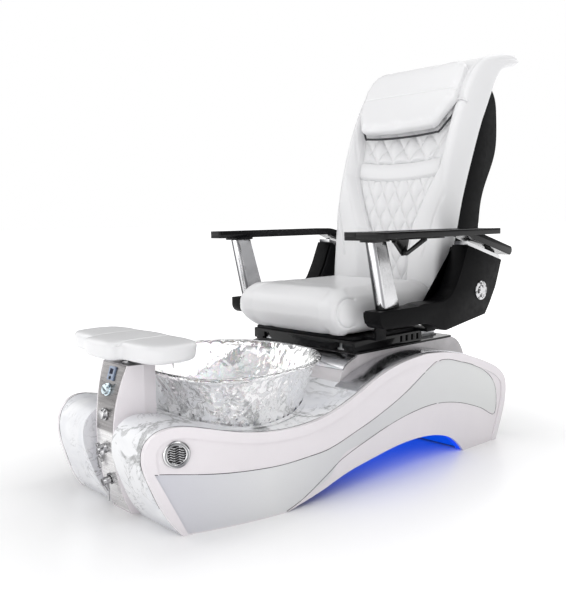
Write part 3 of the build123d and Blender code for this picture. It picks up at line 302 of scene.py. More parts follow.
def hammered_glass():
    """Rippled clear glass with a faint play of colours."""
    glass = {"Transmission_Weight": 0.9, "IOR": 1.42, "Thin_Film_IOR": 1.55}
    look = Look("hammered_glass", (0.97, 0.98, 0.98), 0.03, **glass)
    film = look.remap(look.noise(22, 3), 0.3, 0.7, *FILM_NM)
    look.link(film, look.shader.inputs["Thin Film Thickness"])
    shades = ((0.3, (0.93, 0.965, 0.97)), (0.45, (0.99, 0.985, 0.985)), (0.6, (0.975, 0.96, 0.985)))
    look.paint(look.ramp(look.noise(14, 3, 0.5, warp=0.6), *shades, (0.75, (0.975, 0.985, 0.95))))
    look.worn(50, 0.02)
    folds = look.noise(26, 1.5, 0.5, stretch=(1, 1, 0.6), warp=0.7)
    look.bump(folds, 0.9, 0.010).bump(look.cells(48, "SMOOTH_F1"), 0.9, 0.006)
    return look.bump(look.noise(90, 1), 0.08, 0.001).mat


def glowing(name, color, strength):
    """A surface that glows where it is turned to the floor, and less towards the front; the fade
    towards the front is painted shade.
    """
    shade = tuple(c * 0.3 for c in color)
    look = Look(name, shade, 0.6, Emission_Color=(*color, 1), Specular_IOR_Level=0.1)
    lit = look.ramp(look.along("Z", 0.1, -0.1, "Normal"), (0.0, 0.0), (1.0, strength))
    # Painted shade: the glow dims towards the front of the chair.
    lit = look.mix(lit, look.along("Y", -0.25, 0.15), 1.0, "MULTIPLY")
    look.link(lit, look.shader.inputs["Emission Strength"])
    return look.mottle(20, 0.05).worn(30, 0.1).mat


LOOKS = {
    "marble_acrylic": marble(),
    "pearl_acrylic": pearl("pearl_acrylic", (0.83, 0.79, 0.82), 0.97),
    "cloudy_pearl": pearl("cloudy_pearl", (0.72, 0.69, 0.71), 0.72),
    "silver_inlay": inlay(),
    "satin_silver": metal("satin_silver", (0.66, 0.66, 0.68), 0.2),
    "brushed": strip_steel(),
    "chrome": mirror_chrome(),
    "post_chrome": mirror_chrome("post_chrome", 0.17),
    "cap_chrome": mirror_chrome("cap_chrome", 0.12, 75),
    "knob_face": metal("knob_face", (0.62, 0.72, 0.77), 0.12),
    "zinc_steel": metal("zinc_steel", (0.56, 0.57, 0.58), 0.32),
    "black_satin": plastic("black_satin", (0.004, 0.004, 0.0045), 0.42, 0.03, shine=0.07),
    "black_gloss": plastic("black_gloss", (0.003, 0.003, 0.0035), 0.13, shine=0.22),
    "frame_steel": plastic("frame_steel", (0.005, 0.005, 0.006), 0.45, 0.03, shine=0.1),
    "blue_light": glowing("blue_light", (0.01, 0.08, 0.9), 0.8),
    "white_plastic": plastic("white_plastic", (0.82, 0.82, 0.82), 0.3),
    "white_upholstery": leather(),
    "grey_pipe": plastic("grey_pipe", (0.36, 0.37, 0.38), 0.45),
    "rubber_black": plastic("rubber_black", (0.02, 0.02, 0.02), 0.8, 0.2),
    "screen": plastic("screen", (0.20, 0.26, 0.38), 0.2, 0.0, 0.6),
    "dark_glass": plastic("dark_glass", (0.006, 0.008, 0.03), 0.3, shine=0.1),
    "clear_glass": hammered_glass(),
    # Painted shade: the colour of dark tubes laid along gaps and below the pillow.
    "painted_shade_line": plastic("painted_shade_line", (0.05, 0.05, 0.055), 0.7, shine=0.2),
    "thread": plastic("thread", (0.90, 0.90, 0.90), 0.6, 0.1),
    # The arch liner is no lamp: its blue glow is painted light from the strips.
    "liner_blue": glowing("liner_blue", (0.003, 0.07, 0.66), 0.9),
}


# ------------------------------ mesh helpers
def link_mesh(name, points, faces, smooth_angle=180.0):
    """A mesh object from millimetre points."""
    mesh = bpy.data.meshes.new(name)
    mesh.from_pydata((np.asarray(points, float) / 1000.0).tolist(), [], faces)
    mesh.validate()
    obj = bpy.data.objects.new(name, mesh)
    scene.collection.objects.link(obj)
    smooth(obj, smooth_angle)
    return obj


def smooth(obj, angle):
    obj.data.polygons.foreach_set("use_smooth", [True] * len(obj.data.polygons))
    if angle < 180:
        obj.data.set_sharp_from_angle(angle=math.radians(angle))


def dress(obj, look, body, slot=None, *replaced):
    """Give a piece its material and body, and hide the CAD nodes it stands for; the slot argument is
    not used.
    """
    obj.data.materials.clear()
    obj.data.materials.append(LOOKS[look])
    if replaced:
        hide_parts(*replaced)
    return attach(obj, body)


def grid(rows, cols, wrap_rows=False, wrap_cols=False):
    """Quads of a grid of vertices numbered row by row."""
    faces = []
    for r in range(rows if wrap_rows else rows - 1):
        for c in range(cols if wrap_cols else cols - 1):
            r2, c2 = (r + 1) % rows, (c + 1) % cols
            faces.append((r * cols + c, r * cols + c2, r2 * cols + c2, r2 * cols + c))
    return faces


def through(points, count, closed=False):
    """Catmull-Rom samples through points, evenly spaced along the curve."""
    pts = np.asarray(points, float)
    if closed:
        pts = np.vstack([pts[-1:], pts, pts[:2]])
    else:
        pts = np.vstack([2 * pts[0] - pts[1], pts, 2 * pts[-1] - pts[-2]])
    fine = []
    for i in range(1, len(pts) - 2):
        p0, p1, p2, p3 = pts[i - 1 : i + 3]
        for t in np.linspace(0, 1, 24, endpoint=False):
            bend = (2 * p0 - 5 * p1 + 4 * p2 - p3) * t**2
            twist = (3 * p1 - p0 - 3 * p2 + p3) * t**3
            fine.append(0.5 * (2 * p1 + (p2 - p0) * t + bend + twist))
    fine.append(pts[-2])
    fine = np.array(fine)
    length = np.r_[0, np.cumsum(np.linalg.norm(np.diff(fine, axis=0), axis=1))]
    at = np.linspace(0, length[-1], count + 1 if closed else count)
    out = np.stack([np.interp(at, length, fine[:, k]) for k in range(pts.shape[1])], axis=1)
    return out[:-1] if closed else out


def mirrored(half):
    """A closed outline from one half, whose ends lie on the middle line."""
    return half + [(-x, y) for x, y in half[::-1][1:-1]]


def circle(radius, count, start=0.0):
    """Points (u, v) of a circle round the origin."""
    turns = np.linspace(start, start + 2 * math.pi, count, endpoint=False)
    return [(radius * math.cos(t), radius * math.sin(t)) for t in turns]


def soften(node, look, width):
    """Stand in for a CAD node with the same shape and rounded edges."""
    mesh = bpy.data.meshes.new(node)
    work = bmesh.new()
    work.from_mesh(nodes[node].data)
    bmesh.ops.remove_doubles(work, verts=work.verts, dist=2e-5)
    bmesh.ops.dissolve_limit(work, angle_limit=math.radians(0.6), verts=work.verts, edges=work.edges)
    work.to_mesh(mesh)
    work.free()
    for extra in [a.name for a in mesh.attributes if a.name == "custom_normal"]:
        mesh.attributes.remove(mesh.attributes[extra])
    obj = bpy.data.objects.new(node + "_piece", mesh)
    scene.collection.objects.link(obj)
    edge = obj.modifiers.new("edge", "BEVEL")
    edge.width = width / 1000
    edge.segments = 3
    edge.limit_method = "ANGLE"
    edge.angle_limit = math.radians(38.0)
    edge.use_clamp_overlap = True
    bake(obj)
    smooth(obj, 32)
    return dress(obj, look, body_of[node], slot_of[node], node)


def bake(obj):
    """Apply every modifier of obj."""
    graph = bpy.context.evaluated_depsgraph_get()
    mesh = bpy.data.meshes.new_from_object(obj.evaluated_get(graph))
    obj.modifiers.clear()
    obj.data = mesh


def tube(name, points, radius, look, body, sides=8):
    """A round bar swept through millimetre points."""
    pts = np.asarray(points, float)
    count = len(pts)
    step = np.gradient(pts, axis=0)
    step /= np.linalg.norm(step, axis=1, keepdims=True)
    side = np.cross(step, np.array([0.31, 0.17, 0.93]))
    side /= np.linalg.norm(side, axis=1, keepdims=True)
    other = np.cross(step, side)
    turn = np.linspace(0, 2 * math.pi, sides, endpoint=False)
    ring = [pts + radius * (math.cos(a) * side + math.sin(a) * other) for a in turn]
    verts = np.stack(ring, axis=1).reshape(-1, 3)
    faces = grid(count, sides, wrap_cols=True)
    faces += [tuple(range(sides))[::-1], tuple(range((count - 1) * sides, count * sides))]
    return dress(link_mesh(name, verts, faces), look, body)


STITCH_PITCH = 7.0
STITCH_LENGTH = 4.6
THREAD_R = 0.55


def stitches(name, points, normals, body):
    """Short thread stitches standing on a surface along a path."""
    pts, ups = np.asarray(points, float), np.asarray(normals, float)
    run = np.r_[0, np.cumsum(np.linalg.norm(np.diff(pts, axis=0), axis=1))]
    verts, faces = [], []
    for at in np.arange(STITCH_PITCH, run[-1] - STITCH_PITCH, STITCH_PITCH):
        mid, up, ahead = (
            np.array([np.interp(at + d, run, data[:, k]) for k in range(3)])
            for d, data in ((0, pts), (0, ups), (1.0, pts))
        )
        along = (ahead - mid) / np.linalg.norm(ahead - mid)
        up = up / np.linalg.norm(up)
        across = np.cross(along, up)
        base = len(verts)
        for a, w in ((-0.5, 0.25), (-0.3, 1.0), (0.3, 1.0), (0.5, 0.25)):
            for turn in range(6):
                angle = turn * math.pi / 3
                offset = THREAD_R * w * (math.cos(angle) * across + (0.6 + math.sin(angle)) * up)
                verts.append(mid + along * a * STITCH_LENGTH + offset)
        faces += [tuple(base + i for i in f) for f in grid(4, 6, wrap_cols=True)]
        faces += [tuple(base + i for i in range(6))[::-1], tuple(base + 18 + i for i in range(6))]
    return dress(link_mesh(name, verts, faces), "thread", body)


def rounded_box(low, high, radius, cell):
    """Vertices and faces of a box with rounded edges."""
    low, high = np.array(low, float), np.array(high, float)
    work = bmesh.new()
    bmesh.ops.create_cube(work, size=1.0)
    cuts = int(max(high - low) / cell)
    bmesh.ops.subdivide_edges(work, edges=work.edges, cuts=min(cuts, 60), use_grid_fill=True)
    points = np.array([v.co for v in work.verts], float)
    faces = [tuple(v.index for v in f.verts) for f in work.faces]
    work.free()
    points = low + (points + 0.5) * (high - low)
    centre = np.clip(points, low + radius, high - radius)
    away = points - centre
    size = np.linalg.norm(away, axis=1, keepdims=True)
    return np.where(size > 1e-9, centre + away / np.maximum(size, 1e-9) * radius, points), faces


def prism(outline, low, high, taper=0.0):
    """A slab over a closed outline of (u, v) points, a little smaller at its faces."""
    ring = np.asarray(outline, float)
    mid = ring.mean(axis=0)
    verts = []
    for height, shrink in ((low, taper), (low + taper, 0), (high - taper, 0), (high, taper)):
        scale = 1 - shrink / np.linalg.norm(ring - mid, axis=1, keepdims=True)
        verts += [(*p, height) for p in mid + (ring - mid) * scale]
    count = len(ring)
    faces = grid(4, count, wrap_cols=True)
    return verts, faces + [tuple(range(count))[::-1], tuple(range(3 * count, 4 * count))]


def per_vertex(obj, what):
    data = np.zeros(len(obj.data.vertices) * 3)
    obj.data.vertices.foreach_get(what, data)
    return data.reshape(-1, 3)


def points_of(obj):
    return per_vertex(obj, "co") * 1000


def place(obj, points):
    obj.data.vertices.foreach_set("co", (np.asarray(points) / 1000).ravel())
    obj.data.update()


def normals_of(obj):
    return per_vertex(obj, "normal")


CLOTH_FRAMES = 20


def inflate(obj, voxel, cap, pressure=4.0):
    """Voxel remesh, then a short pressurised cloth run whose movement is capped, in mm."""
    remesh = obj.modifiers.new("even", "REMESH")
    remesh.mode = "VOXEL"
    remesh.voxel_size = voxel / 1000
    bake(obj)
    before = points_of(obj)
    cloth = obj.modifiers.new("stuffing", "CLOTH")
    cloth.settings.use_pressure = True
    cloth.settings.uniform_pressure_force = pressure
    cloth.settings.effector_weights.gravity = 0
    cloth.settings.tension_stiffness = 20
    cloth.settings.bending_stiffness = 2
    cloth.point_cache.frame_start = 1
    cloth.point_cache.frame_end = CLOTH_FRAMES
    for step in range(1, CLOTH_FRAMES + 1):
        scene.frame_set(step)
    bake(obj)
    moved = points_of(obj) - before
    size = np.linalg.norm(moved, axis=1, keepdims=True)
    place(obj, before + moved * np.minimum(1, cap / np.maximum(size, 1e-6)))
    scene.frame_set(1)
    soft = obj.modifiers.new("fine", "SUBSURF")
    soft.levels = 1
    soft.render_levels = 1
    bake(obj)
    smooth(obj, 180)
    return obj


def groove(distance, width, depth):
    """Depth of a sewn line at a distance from it."""
    return depth * np.exp(-((distance / width) ** 2))


def near_line(u, v, line):
    """Distance from points to a polyline, all in a plane."""
    best = np.full(u.shape, 1e9)
    for (u0, v0), (u1, v1) in zip(line, line[1:]):
        du, dv = u1 - u0, v1 - v0
        t = np.clip(((u - u0) * du + (v - v0) * dv) / (du * du + dv * dv), 0, 1)
        best = np.minimum(best, np.hypot(u - u0 - t * du, v - v0 - t * dv))
    return best


# ------------------------------ back cushion
BACK_HALF = 266.0
BACK_CORNER = 22.0  # rounding of the long edges, in front and behind
REAR_CORNER = 12.0
BACK_BULGE = 5.0  # how far the sides stand out
ROWS = 350
ROW_STEP = 3.4  # distance between rows along the back
CROWN_ROUND = 20.0
FOOT_ROUND = 14.0
BAND_LOW = 1030.0  # the plain band between the two quilted fields
BAND_HIGH = 1100.0
BAND_DROP = 17.0  # how far the seams of the band sink in their middle
PILLOW_TOP = 1300.0
CROWN_Y = 790.0  # beyond this the height on the panel is counted along y, from CROWN_Z
CROWN_Z = 1445.0
STRAP_Z = 1284.0
STRAP_X = 224.0
# Side view of the upholstery, (y, z), from its foot to the tip of the crown.
FRONT_LINE = [
    (468, 577), (470, 602), (473, 645), (479, 710), (488, 801), (504, 917), (543, 1064), (591, 1196),
    (631, 1278), (679, 1350), (728, 1405), (776, 1437), (834, 1459), (900, 1474), (958, 1481),
    (1004, 1478),
]
REAR_LINE = [
    (545, 577), (552, 602), (566, 648), (585, 710), (613, 795), (648, 910), (704, 1050), (761, 1182),
    (801, 1256), (829, 1312), (851, 1354), (873, 1380), (906, 1402), (946, 1415), (978, 1423),
    (1005, 1432),
]
# Half width of the sunk centre panel, (z, half width), and how deep it lies, (z, depth).
PANEL = [(620, 92), (720, 95), (815, 104), (1030, 200), (1190, 206), (1300, 214)]
SINK = [(620, 40), (760, 46), (1150, 44), (1260, 20), (1340, 0)]
# Half width of the upper quilted field, narrower at its lower edge.
UPPER_FIELD = [(1030, 200), (1100, 206), (1101, 158), (1190, 206), (1300, 214)]
# Width and height of the diamonds of the lower and the upper field.
LOWER_QUILT = (66.0, 122.0)
UPPER_QUILT = (82.0, 104.0)
# Seams of the bolsters, (distance from the middle, z), with the width and depth of the groove.
BOLSTER_SEAMS = (
    ([(262, 1268), (236, 1180), (206, 1066)], 2.8, 4.5),
    ([(264, 940), (222, 800), (196, 700)], 2.8, 4.5),
    ([(250, 1284), (242, 1350), (238, 1440)], 3.4, 3.5),
)
front_path = through(FRONT_LINE, ROWS)
rear_path = through(REAR_LINE, ROWS)


def table(points, at):
    """Value at a place in a list of (place, value) points."""
    return np.interp(at, *zip(*points))


def back_height(x, z):
    """Height of the upholstery above the line of the bolsters, negative in the centre."""
    a = np.abs(x)
    half = table(PANEL, z)
    rise = z + BAND_DROP * np.clip(1 - (a / 206) ** 2, 0, 1)
    ramp = np.clip((a - half + 4) / 46, 0, 1)
    height = -table(SINK, z) * (1 - ramp * ramp * (3 - 2 * ramp))
    crown = np.clip((a - half) / (BACK_HALF - half), 0, 1)
    height -= 9 * (2 * crown - 1) ** 2 * np.interp(z, [1250, 1400], [1, 0.3])
    inside = a < half
    lower = (rise < BAND_LOW - 3) & inside
    upper = (rise > BAND_HIGH + 4) & (z < PILLOW_TOP) & (a < table(UPPER_FIELD, rise))
    for area, (wide, tall) in ((lower, LOWER_QUILT), (upper, UPPER_QUILT)):
        p = x / wide + z / tall
        q = x / wide - z / tall
        puff = (np.abs(np.sin(math.pi * p)) * np.abs(np.sin(math.pi * q))) ** 0.4
        edge = np.clip((half - a) / 12, 0, 1)
        height += np.where(area, (15 * puff - 5) * edge, 0)
    band = np.clip((rise - BAND_LOW) / (BAND_HIGH - BAND_LOW), 0, 1)
    on_band = inside & (rise > BAND_LOW) & (rise < BAND_HIGH)
    height += np.where(on_band, 9 * np.sqrt(np.sin(math.pi * band)), 0)
    seams = groove(rise - BAND_LOW, 3.5, 7) + groove(rise - BAND_HIGH - 1, 3.5, 7)
    height -= np.where(a < half + 2, seams, 0)
    height -= np.where(z < 1320, groove(a - half - 2, 3.5, 8.0), 0)
    for line, width, depth in BOLSTER_SEAMS:
        height -= groove(near_line(a, z, line), width, depth)
    tuck = np.hypot((a - 246) / 26, (z - STRAP_Z) / 16)
    return height - 9 * np.exp(-tuck * tuck)


def rounding(distance, radius, least):
    """Share of the full size at a distance from a rounded end."""
    share = min(distance, radius) / radius
    return math.sqrt(max(1 - (1 - share) ** 2, least))


def side_point(side, t, depth, end):
    """A point (x, distance from the rear) on a side of the back, from its front to its rear."""
    d = (depth - BACK_CORNER) * (1 - t) + REAR_CORNER * t
    x = side * (BACK_HALF + BACK_BULGE * math.sin(math.pi * t))
    return x, d + min(end + BACK_CORNER, 0) * (1 - t)


def make_back():
    """The reclining back: rings of points round the upholstery, from its foot to its crown."""
    flat = np.linspace(-(BACK_HALF - BACK_CORNER), BACK_HALF - BACK_CORNER, 152)
    arc = np.linspace(0, math.pi / 2, 8)[1:]
    right = [
        (BACK_HALF - BACK_CORNER + BACK_CORNER * math.sin(t), BACK_CORNER * (1 - math.cos(t)))
        for t in arc
    ]
    front_x = np.array([-x for x, _ in right[::-1]] + list(flat) + [x for x, _ in right])
    front_drop = np.array([d for _, d in right[::-1]] + [0] * len(flat) + [d for _, d in right])
    down_side = np.linspace(0, 1, 16)[1:-1]
    rear_flat = np.linspace(BACK_HALF - REAR_CORNER, -(BACK_HALF - REAR_CORNER), 34)
    verts = []
    for i in range(ROWS):
        front, rear = front_path[i], rear_path[i]
        away = front - rear
        depth = np.linalg.norm(away)
        away = away / depth
        pull = rounding((ROWS - 1 - i) * ROW_STEP, CROWN_ROUND, 0.02)
        pull *= rounding(i * ROW_STEP, FOOT_ROUND, 0.05)
        z = CROWN_Z + (front[0] - CROWN_Y) if front[0] > CROWN_Y else front[1]
        rise = back_height(front_x, np.full(front_x.shape, z)) - front_drop
        ring = list(zip(front_x, depth + rise))
        ring += [side_point(1, t, depth, rise[-1]) for t in down_side]
        ring += [(x, 0.0 if abs(x) < BACK_HALF - REAR_CORNER - 1 else 3.0) for x in rear_flat]
        ring += [side_point(-1, t, depth, rise[0]) for t in down_side[::-1]]
        middle = depth / 2
        for x, d in ring:
            d = middle + (d - middle) * pull
            x = x * (0.965 + 0.035 * pull)
            verts.append((x, rear[0] + away[0] * d, rear[1] + away[1] * d))
    cols = len(verts) // ROWS
    faces = grid(ROWS, cols, wrap_cols=True)
    faces += [tuple(range(cols))[::-1], tuple(range((ROWS - 1) * cols, ROWS * cols))]
    back = link_mesh("back_upholstery", verts, faces, 75)
    dress(back, "white_upholstery", "back", "white_upholstery", "back_cushion")


def on_back(x, z, lift=0.0):
    """A point on the front of the back at (x, z of the bolster line), and the outward direction."""
    i = int(np.argmin(np.abs(front_path[:, 1] - z) + (front_path[:, 0] > 800) * 1e3))
    front, rear = front_path[i], rear_path[i]
    away = (front - rear) / np.linalg.norm(front - rear)
    h = float(back_height(np.array([x]), np.array([z]))[0]) + lift
    corner = max(abs(x) - (BACK_HALF - BACK_CORNER), 0)
    h -= BACK_CORNER - math.sqrt(max(BACK_CORNER * BACK_CORNER - corner * corner, 0))
    return np.array([x, *(front + away * h)]), np.array([0, *away])


def make_panel_stitches(side, tag):
    """Two rows of stitches along the seam of the centre panel."""
    for offset, name in ((9.0, "outer"), (-5.0, "inner")):
        zs = np.linspace(650, 1180, 180)
        line = [on_back(side * (float(table(PANEL, z)) + 2 + offset), z, 0.4) for z in zs]
        stitches(f"seam_{name}_{tag}", [p for p, _ in line], [n for _, n in line], "back")


def make_strap(side, tag):
    """The button and the strap that hold the pillow."""
    here, out = on_back(side * STRAP_X, STRAP_Z, 5.0)
    verts = []
    for size, rise in ((8.5, -6), (8.5, 1.0), (6.5, 3.5), (3.0, 4.6)):
        for u, v in circle(1.0, 20):
            verts.append(here + np.array([u, -out[2] * v, out[1] * v]) * size + out * rise)
    faces = grid(4, 20, wrap_cols=True) + [tuple(range(60, 80))]
    dress(link_mesh(f"pillow_button_{tag}", verts, faces, 50), "white_plastic", "back")
    path = [on_back(side * x, STRAP_Z, 4.0)[0] for x in np.linspace(STRAP_X, BACK_HALF - 2, 9)]
    i = int(np.argmin(np.abs(front_path[:, 1] - STRAP_Z)))
    away = (front_path[i] - rear_path[i]) / np.linalg.norm(front_path[i] - rear_path[i])
    path.append(np.array([side * (BACK_HALF + 4.5), *(front_path[i] - away * 24)]))
    tube(f"pillow_strap_{tag}", through(path, 30), 4.5, "white_upholstery", "back")


def make_back_seams():
    for side, tag in ((-1, "l"), (1, "r")):
        make_panel_stitches(side, tag)
        make_strap(side, tag)


# ------------------------------ head pillow
# Side view (y, z) of the line that the pillow lies on.
PILLOW_REST = [
    (600, 1148), (622, 1192), (658, 1257), (703, 1326), (748, 1386), (782, 1418), (812, 1436),
]
PILLOW_START = 8.0  # how far up that line the pillow's outline has its zero
PILLOW_SEAM = 152.0  # height of the seam on the outline
# (across, up), before the pillow is bent on to the back.
PILLOW_OUTLINE = [
    (-176, 4), (-90, -4), (0, -6), (90, -4), (176, 4), (190, 14), (238, 104), (243, 124),
    (243, 210), (236, 262), (214, 290), (190, 298), (0, 302), (-190, 298), (-214, 290),
    (-236, 262), (-243, 210), (-243, 124), (-238, 104), (-190, 14),
]


def bent_on_back(p):
    """Points of a flat pad (across, up the back, thickness) laid along the front of the back."""
    path = through(PILLOW_REST, 200)
    run = np.r_[0, np.cumsum(np.linalg.norm(np.diff(path, axis=0), axis=1))]
    along = np.gradient(path, axis=0)
    along /= np.linalg.norm(along, axis=1, keepdims=True)
    s = np.clip(p[:, 1] + PILLOW_START, 0, run[-1])
    y, z = (np.interp(s, run, path[:, k]) for k in (0, 1))
    ty, tz = (np.interp(s, run, along[:, k]) for k in (0, 1))
    spare = p[:, 1] + PILLOW_START - s
    return np.stack([p[:, 0], y + ty * spare - tz * p[:, 2], z + tz * spare + ty * p[:, 2]], axis=1)


def make_pillow():
    verts, faces = prism([(x * 0.995, y) for x, y in PILLOW_OUTLINE], 8, 46, 7)
    pillow = link_mesh("head_pillow_pad", verts, faces)
    inflate(pillow, 5.0, 9.0, 5.0)
    p = points_of(pillow)
    n = normals_of(pillow)
    front = n[:, 2] > 0.2
    sewn = np.where(front, groove(p[:, 1] - PILLOW_SEAM, 2.6, 3.6), 0)
    field = np.clip((p[:, 1] % PILLOW_SEAM) / PILLOW_SEAM, 0, 1)
    puff = np.where(front, 3.0 * np.sin(math.pi * field), 0)
    p[:, 2] = np.clip(p[:, 2] + puff - sewn, 1.0, 58) + 7
    place(pillow, bent_on_back(p))
    dress(pillow, "white_upholstery", "back", "white_upholstery", "head_pillow")


def make_pillow_shadow_line():
    """A dark tube along the pillow's lower edge: a painted shadow line below the pillow."""
    lower = [(-238, 112), (-234, 92), (-186, 10), (-168, 2), (-90, -5), (0, -7)]
    edge = lower + [(-x, y) for x, y in lower[::-1][1:]]
    flat = np.array([(x, y, 9.0) for x, y in through(edge, 160)])
    tube("pillow_shadow_line", bent_on_back(flat), 4.2, "painted_shade_line", "back", sides=10)


# ------------------------------ seat cushion
SEAT_LOW = (-267, -27, 461)
SEAT_HIGH = (267, 500, 610)
SEAT_ROUND = 66
SEAT_REAR = 461.0  # flat rear face, against the back
SEAT_SIDE = 281.0
SEAT_FRONT = -64.0
SEAT_UNDER = 452.0
SEAT_SEAM_X = 248.0
# Soft crease over the top, (x, y), and the seam along each side, (y, z).
SEAT_CREASE = [(-210, 150), (-120, 118), (0, 108), (120, 118), (210, 150)]
SEAT_SIDE_SEAM = [(0, 604), (200, 606), (440, 606)]


def bow_seat(verts):
    """Bow the seat's front edge, draw its lower front in and square its front corners."""
    front = np.clip((120 - verts[:, 1]) / 140, 0, 1)
    verts[:, 1] -= 22 * front * (1 - (verts[:, 0] / 300) ** 2)
    verts[:, 1] += 12 * np.clip((520 - verts[:, 2]) / 60, 0, 1) * front
    corner = np.clip((np.abs(verts[:, 0]) - 170) / 97, 0, 1) * np.clip((50 - verts[:, 1]) / 77, 0, 1)
    verts[:, 0] += np.sign(verts[:, 0]) * 12 * corner
    verts[:, 1] -= 20 * corner


def make_seat():
    verts, faces = rounded_box(SEAT_LOW, SEAT_HIGH, SEAT_ROUND, 10)
    bow_seat(verts)
    cushion = link_mesh("seat_pad", verts, faces)
    inflate(cushion, 6.0, 6.0)
    p = points_of(cushion)
    n = normals_of(cushion)
    a = np.abs(p[:, 0])
    upright = (n[:, 2] < 0.7) & (p[:, 1] < 60)
    p -= n * (upright * groove(np.abs(a - SEAT_SEAM_X), 2.6, 5.0))[:, None]
    top = n[:, 2] > 0.75
    p[:, 2] -= np.where(top, groove(near_line(p[:, 0], p[:, 1], SEAT_CREASE), 5.0, 1.8), 0)
    dent = (p[:, 0] / 150) ** 2 + ((p[:, 1] - 250) / 130) ** 2
    p[:, 2] -= np.where(top, 5 * np.exp(-dent), 0)
    side_seam = groove(near_line(p[:, 1], p[:, 2], SEAT_SIDE_SEAM), 2.4, 1.6) * (a > 254)
    p -= n * side_seam[:, None]
    p[:, 0] = np.clip(p[:, 0], -SEAT_SIDE, SEAT_SIDE)
    p[:, 1] = np.clip(p[:, 1], SEAT_FRONT, SEAT_REAR)
    p[:, 2] = np.maximum(p[:, 2], SEAT_UNDER)
    place(cushion, p)
    dress(cushion, "white_upholstery", "seat", "white_upholstery", "seat_cushion")


# ------------------------------ footrest pad
PAD_LOW = 462.5
PAD_HIGH = 513
PAD_FLOOR = 460.4
PAD_CROWN = 524
PAD_SEAM_X = 81  # the seams beside the middle tongue
PAD_MIDDLE_Y = -655
PAD_HALF = [  # plan of one half, (x, y)
    (0, -766), (40, -765), (68, -760), (80, -748), (84, -732), (98, -726), (150, -723),
    (206, -715), (238, -697), (250, -664), (251, -612), (236, -574), (200, -551), (120, -544),
    (0, -543),
]


def make_footrest():
    outline = through(mirrored(PAD_HALF), 160, closed=True)
    verts, faces = prism(outline, PAD_LOW, PAD_HIGH, 8)
    pad = link_mesh("footrest_cushion", verts, faces)
    inflate(pad, 5.0, 3.0, 4.0)
    p = points_of(pad)
    n = normals_of(pad)
    a = np.abs(p[:, 0])
    up = n[:, 2] > 0.3
    p[:, 2] -= np.where(up, groove(a - PAD_SEAM_X, 2.6, 4.5), 0)
    p[:, 2] += np.where(up & (a < PAD_SEAM_X), 2.0 * np.cos(a / PAD_SEAM_X * math.pi / 2), 0)
    draft = 1 - 0.03 * np.clip((500 - p[:, 2]) / 40, 0, 1)
    p[:, 0] *= draft
    p[:, 1] = PAD_MIDDLE_Y + (p[:, 1] - PAD_MIDDLE_Y) * draft
    p[:, 2] = np.clip(p[:, 2], PAD_FLOOR, PAD_CROWN)
    place(pad, p)
    dress(pad, "white_upholstery", "footrest", "white_upholstery", "footrest_pad")


# ------------------------------ glass basin
BOWL_SHAPE = [  # plan of one half, as shares of the half width and half length
    (0, -1.0), (0.42, -1.0), (0.80, -0.90), (0.985, -0.58), (1.0, -0.25), (0.93, 0.24),
    (0.72, 0.66), (0.40, 0.92), (0, 1.0),
]
BOWL_Y = -302.0
BOWL_LOW = 205.0
BOWL_DEPTH = 207.0
BOWL_FOOT = (258, 210)  # half width and half length of the wall at its foot
BOWL_FLARE = (74, 82)  # how much they grow to the rim
BOWL_POINTS = 220
DRAIN_HOLE_R = 26
RIM_R = 9.5
# Side view (y, z) of the covers' upper edge; a stretch of it is the deck beside the basin.
SHOULDER = [
    (-723, 81), (-742, 130), (-762, 192), (-764, 232), (-752, 267), (-721, 293), (-675, 301),
    (-621, 292), (-545, 272), (-455, 254), (-345, 246), (-238, 253), (-157, 271), (-56, 306),
    (40, 345), (150, 372), (279, 383), (400, 373), (542, 340), (640, 306), (722, 266),
    (760, 224), (766, 190), (754, 120),
]
DECK = SHOULDER[6:14]
# Growth beyond the wall's outer face and height, from the inner floor up to the rim.
BOWL_INSIDE = [(-60, 216), (-26, 217), (-14, 226), (-9.5, 250), (-9, 320), (-8.5, 385)]
# The same from the rim down to the foot.
BOWL_OUTSIDE = [
    (1.0, 385), (0.5, 320), (0, 250), (-3, 222), (-14, 208), (-26, 205.4), (-60, 205.2),
]
bowl_plan = through(mirrored(BOWL_SHAPE), BOWL_POINTS, closed=True)


def bowl_half(z):
    """Half width and half length of the basin's outer wall at height z."""
    share = (z - BOWL_LOW) / BOWL_DEPTH
    return (foot + flare * share for foot, flare in zip(BOWL_FOOT, BOWL_FLARE))


def make_basin():
    arc = np.linspace(2.9, -1.9, 12)
    rim = [(6.0 + RIM_R * math.cos(t), 403 + RIM_R * math.sin(t)) for t in arc]
    verts = []
    for grow, z in [*BOWL_INSIDE, *rim, *BOWL_OUTSIDE]:
        half_w, half_l = bowl_half(z)
        for k, (u, v) in enumerate(bowl_plan):
            ripple = 1.3 * math.sin(k * 0.9 + z * 0.11) + 0.9 * math.sin(k * 1.7 - z * 0.2)
            g = grow + (ripple if 225 < z < 395 else ripple * 0.25)
            verts.append((u * (half_w + g), BOWL_Y + v * (half_l + g), z))
    hole = circle(DRAIN_HOLE_R, BOWL_POINTS, -math.pi / 2)
    for z in (BOWL_OUTSIDE[-1][1], BOWL_INSIDE[0][1]):
        verts += [(x, BOWL_Y + y, z) for x, y in hole]
    faces = grid(len(verts) // BOWL_POINTS, BOWL_POINTS, wrap_rows=True, wrap_cols=True)
    basin = link_mesh("glass_basin", verts, faces, 60)
    dress(basin, "clear_glass", "base", "clear_glass", "basin")
    basin.visible_shadow = False


